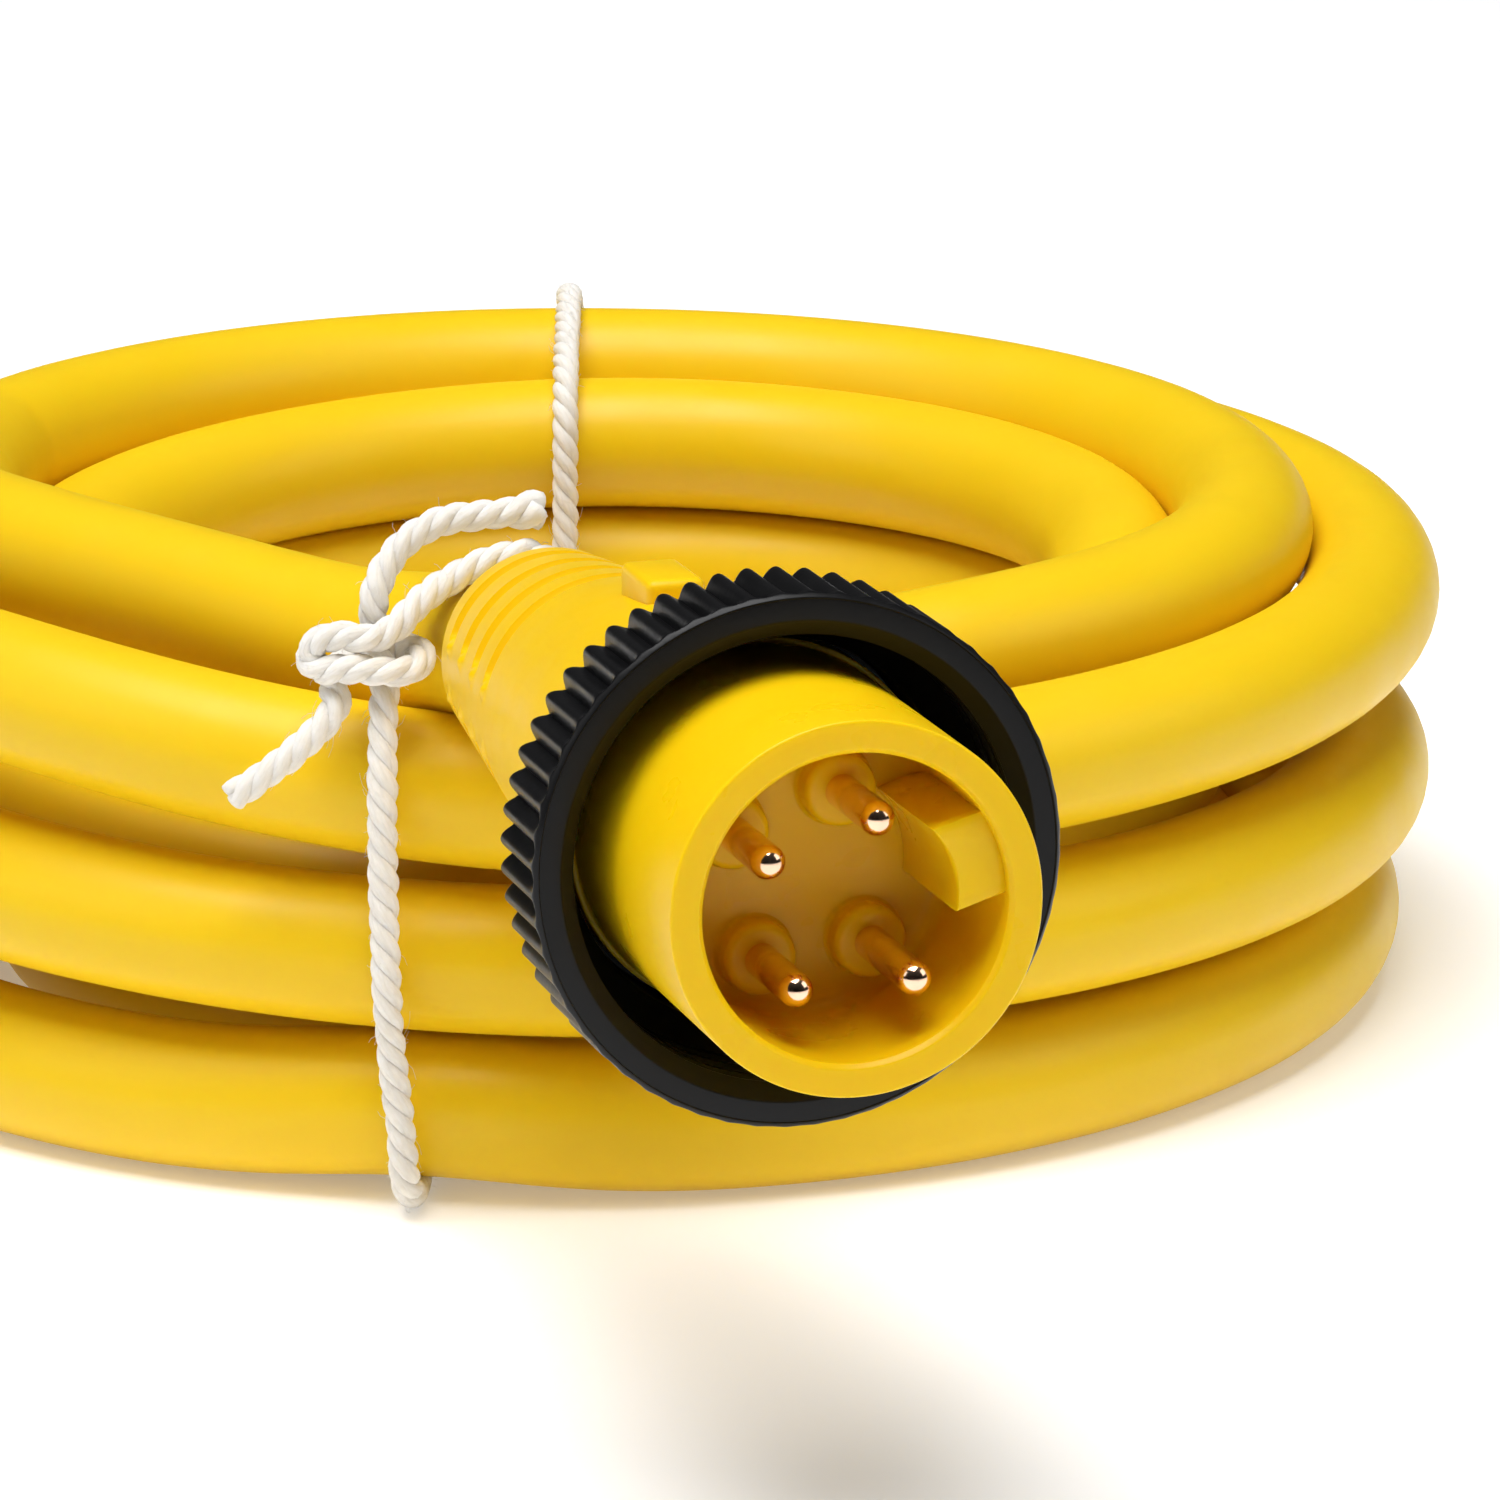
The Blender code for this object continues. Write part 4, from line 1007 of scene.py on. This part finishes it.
class CORDSET_OT_string(bpy.types.Operator):
    """Both ties of twisted string, the knot, its free ends and stray fibres"""

    bl_idname = "cordset.string"
    bl_label = "String"

    def execute(self, context):
        sizes = context.scene.cordset_string
        finish = cotton_finish(tuple(sizes.colour))
        self.rng = random.Random(3)
        self.fibres = []
        front = self.plies(VERTICAL_RUN + knotted(RISING_END), sizes, flare_end=True)
        front += self.plies(OVER_LEAD + knotted(WRAPPED_END), sizes, blunt_end=True)
        for name, parts in (("front", front), ("back", self.plies(BACK_TIE + BACK_TIE[:1], sizes))):
            tie = link(name + "_string", mesh_of(name + "_string", parts), ROOT)
            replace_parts(finished(tie, finish), name + "_tie")
        finished(self.fluff(sizes.fibres), finish)
        return {"FINISHED"}

    def plies(self, points, sizes, flare_end=False, blunt_end=False):
        """Three plies laid round each other along the points, flattened where they meet the ground."""
        route = even_route(smooth_route([bench(p) for p in points], 0.4 * MM), STRING_STEP * MM)
        frames = frames_along(route)
        parts = []
        ply = sizes.diameter * PLY_SHARE
        count = len(frames)
        for number in range(3):
            middle = []
            for i, (place, side, up) in enumerate(frames):
                angle = -2 * math.pi * i * STRING_STEP * MM / sizes.lay + number * 2 * math.pi / 3
                left = (count - 1 - i) * STRING_STEP
                reach = sizes.diameter / 2 - ply
                if flare_end:
                    reach *= 1.0 + 0.45 * (1 - smoothstep(left, 0.0, 2.2))
                middle.append(place + (side * math.cos(angle) + up * math.sin(angle)) * reach)
            phase = self.rng.uniform(0, 6.3)

            def fat(index, angle, phase=phase):
                """The ply's radius, a little lumpy and wider at a cut end."""
                lump = 1.0 + 0.05 * math.sin(index * 0.31 + phase) + 0.03 * math.sin(3 * angle + index * 0.2)
                left = (count - 1 - index) * STRING_STEP
                if blunt_end:
                    lump *= 1.0 + 0.10 * (1 - smoothstep(left, 0.0, 1.5))
                if flare_end:
                    lump *= 1.0 + 0.25 * (1 - smoothstep(left, 0.0, 2.0))
                return ply * lump * 1.12

            vertices, faces, corners = swept(middle, fat, sides=PLY_SIDES)
            vertices = [Vector((v.x, v.y, max(v.z, 0.03 * MM))) for v in vertices]
            parts.append((vertices, faces, corners))
        self.fibres.append((frames, sizes.diameter / 2))
        return parts

    def fluff(self, total):
        """Short stray fibres standing off the string."""
        parts = []
        lengths = [len(frames) for frames, _ in self.fibres]
        for _ in range(total):
            frames, radius = self.rng.choices(self.fibres, weights=lengths)[0]
            i = self.rng.randrange(2, len(frames) - 8)
            place, side, up = frames[i]
            tangent = side.cross(up)
            angle = self.rng.uniform(0, 2 * math.pi)
            out = side * math.cos(angle) + up * math.sin(angle)
            lean = tangent * self.rng.uniform(-1.4, 1.4) + out.cross(tangent) * self.rng.uniform(-0.8, 0.8)
            reach = self.rng.uniform(0.25, 0.85) * MM
            start = place + out * radius * 0.85
            bend = start + (out * 0.45 + lean * 0.5) * reach
            end = bend + (out * 0.15 + lean * 0.6) * reach
            points = smooth_route([start, bend, end], reach * 0.5)
            for p in points:
                p.z = max(p.z, 0.05 * MM)
            parts.append(swept(points, FIBRE_R * MM, sides=3, round_ends=False))
        return link("string_fibres", mesh_of("string_fibres", parts), ROOT)


class CORDSET_PT_panel(bpy.types.Panel):
    """Lists the sizes and colours, and a button for each operator"""

    bl_idname = "CORDSET_PT_panel"
    bl_label = "Cordset"
    bl_space_type = "VIEW_3D"
    bl_region_type = "UI"
    bl_category = "Cordset"

    def draw(self, context):
        for group in ("cordset_cable", "cordset_plug", "cordset_string", "cordset_stage"):
            box = self.layout.box()
            settings = getattr(context.scene, group)
            for name in settings.bl_rna.properties.keys():
                if name not in ("rna_type", "name"):
                    box.prop(settings, name)
        for operator in OPERATORS:
            self.layout.operator(operator.bl_idname)


GROUPS = {
    "cordset_cable": CordsetCable,
    "cordset_plug": CordsetPlug,
    "cordset_string": CordsetString,
    "cordset_stage": CordsetStage,
}
OPERATORS = (
    CORDSET_OT_stage, CORDSET_OT_conductors, CORDSET_OT_cable, CORDSET_OT_nut, CORDSET_OT_insert,
    CORDSET_OT_contacts, CORDSET_OT_body, CORDSET_OT_string,
)


def register():
    for made in (*GROUPS.values(), *OPERATORS, CORDSET_PT_panel):
        bpy.utils.register_class(made)
    for name, group in GROUPS.items():
        setattr(bpy.types.Scene, name, PointerProperty(type=group))


def unregister():
    for name in GROUPS:
        delattr(bpy.types.Scene, name)
    for made in (CORDSET_PT_panel, *reversed(OPERATORS), *reversed(GROUPS.values())):
        bpy.utils.unregister_class(made)


def main():
    register()
    for operator in OPERATORS:
        group, name = operator.bl_idname.split(".")
        getattr(getattr(bpy.ops, group), name)()


if __name__ == "__main__":
    main()
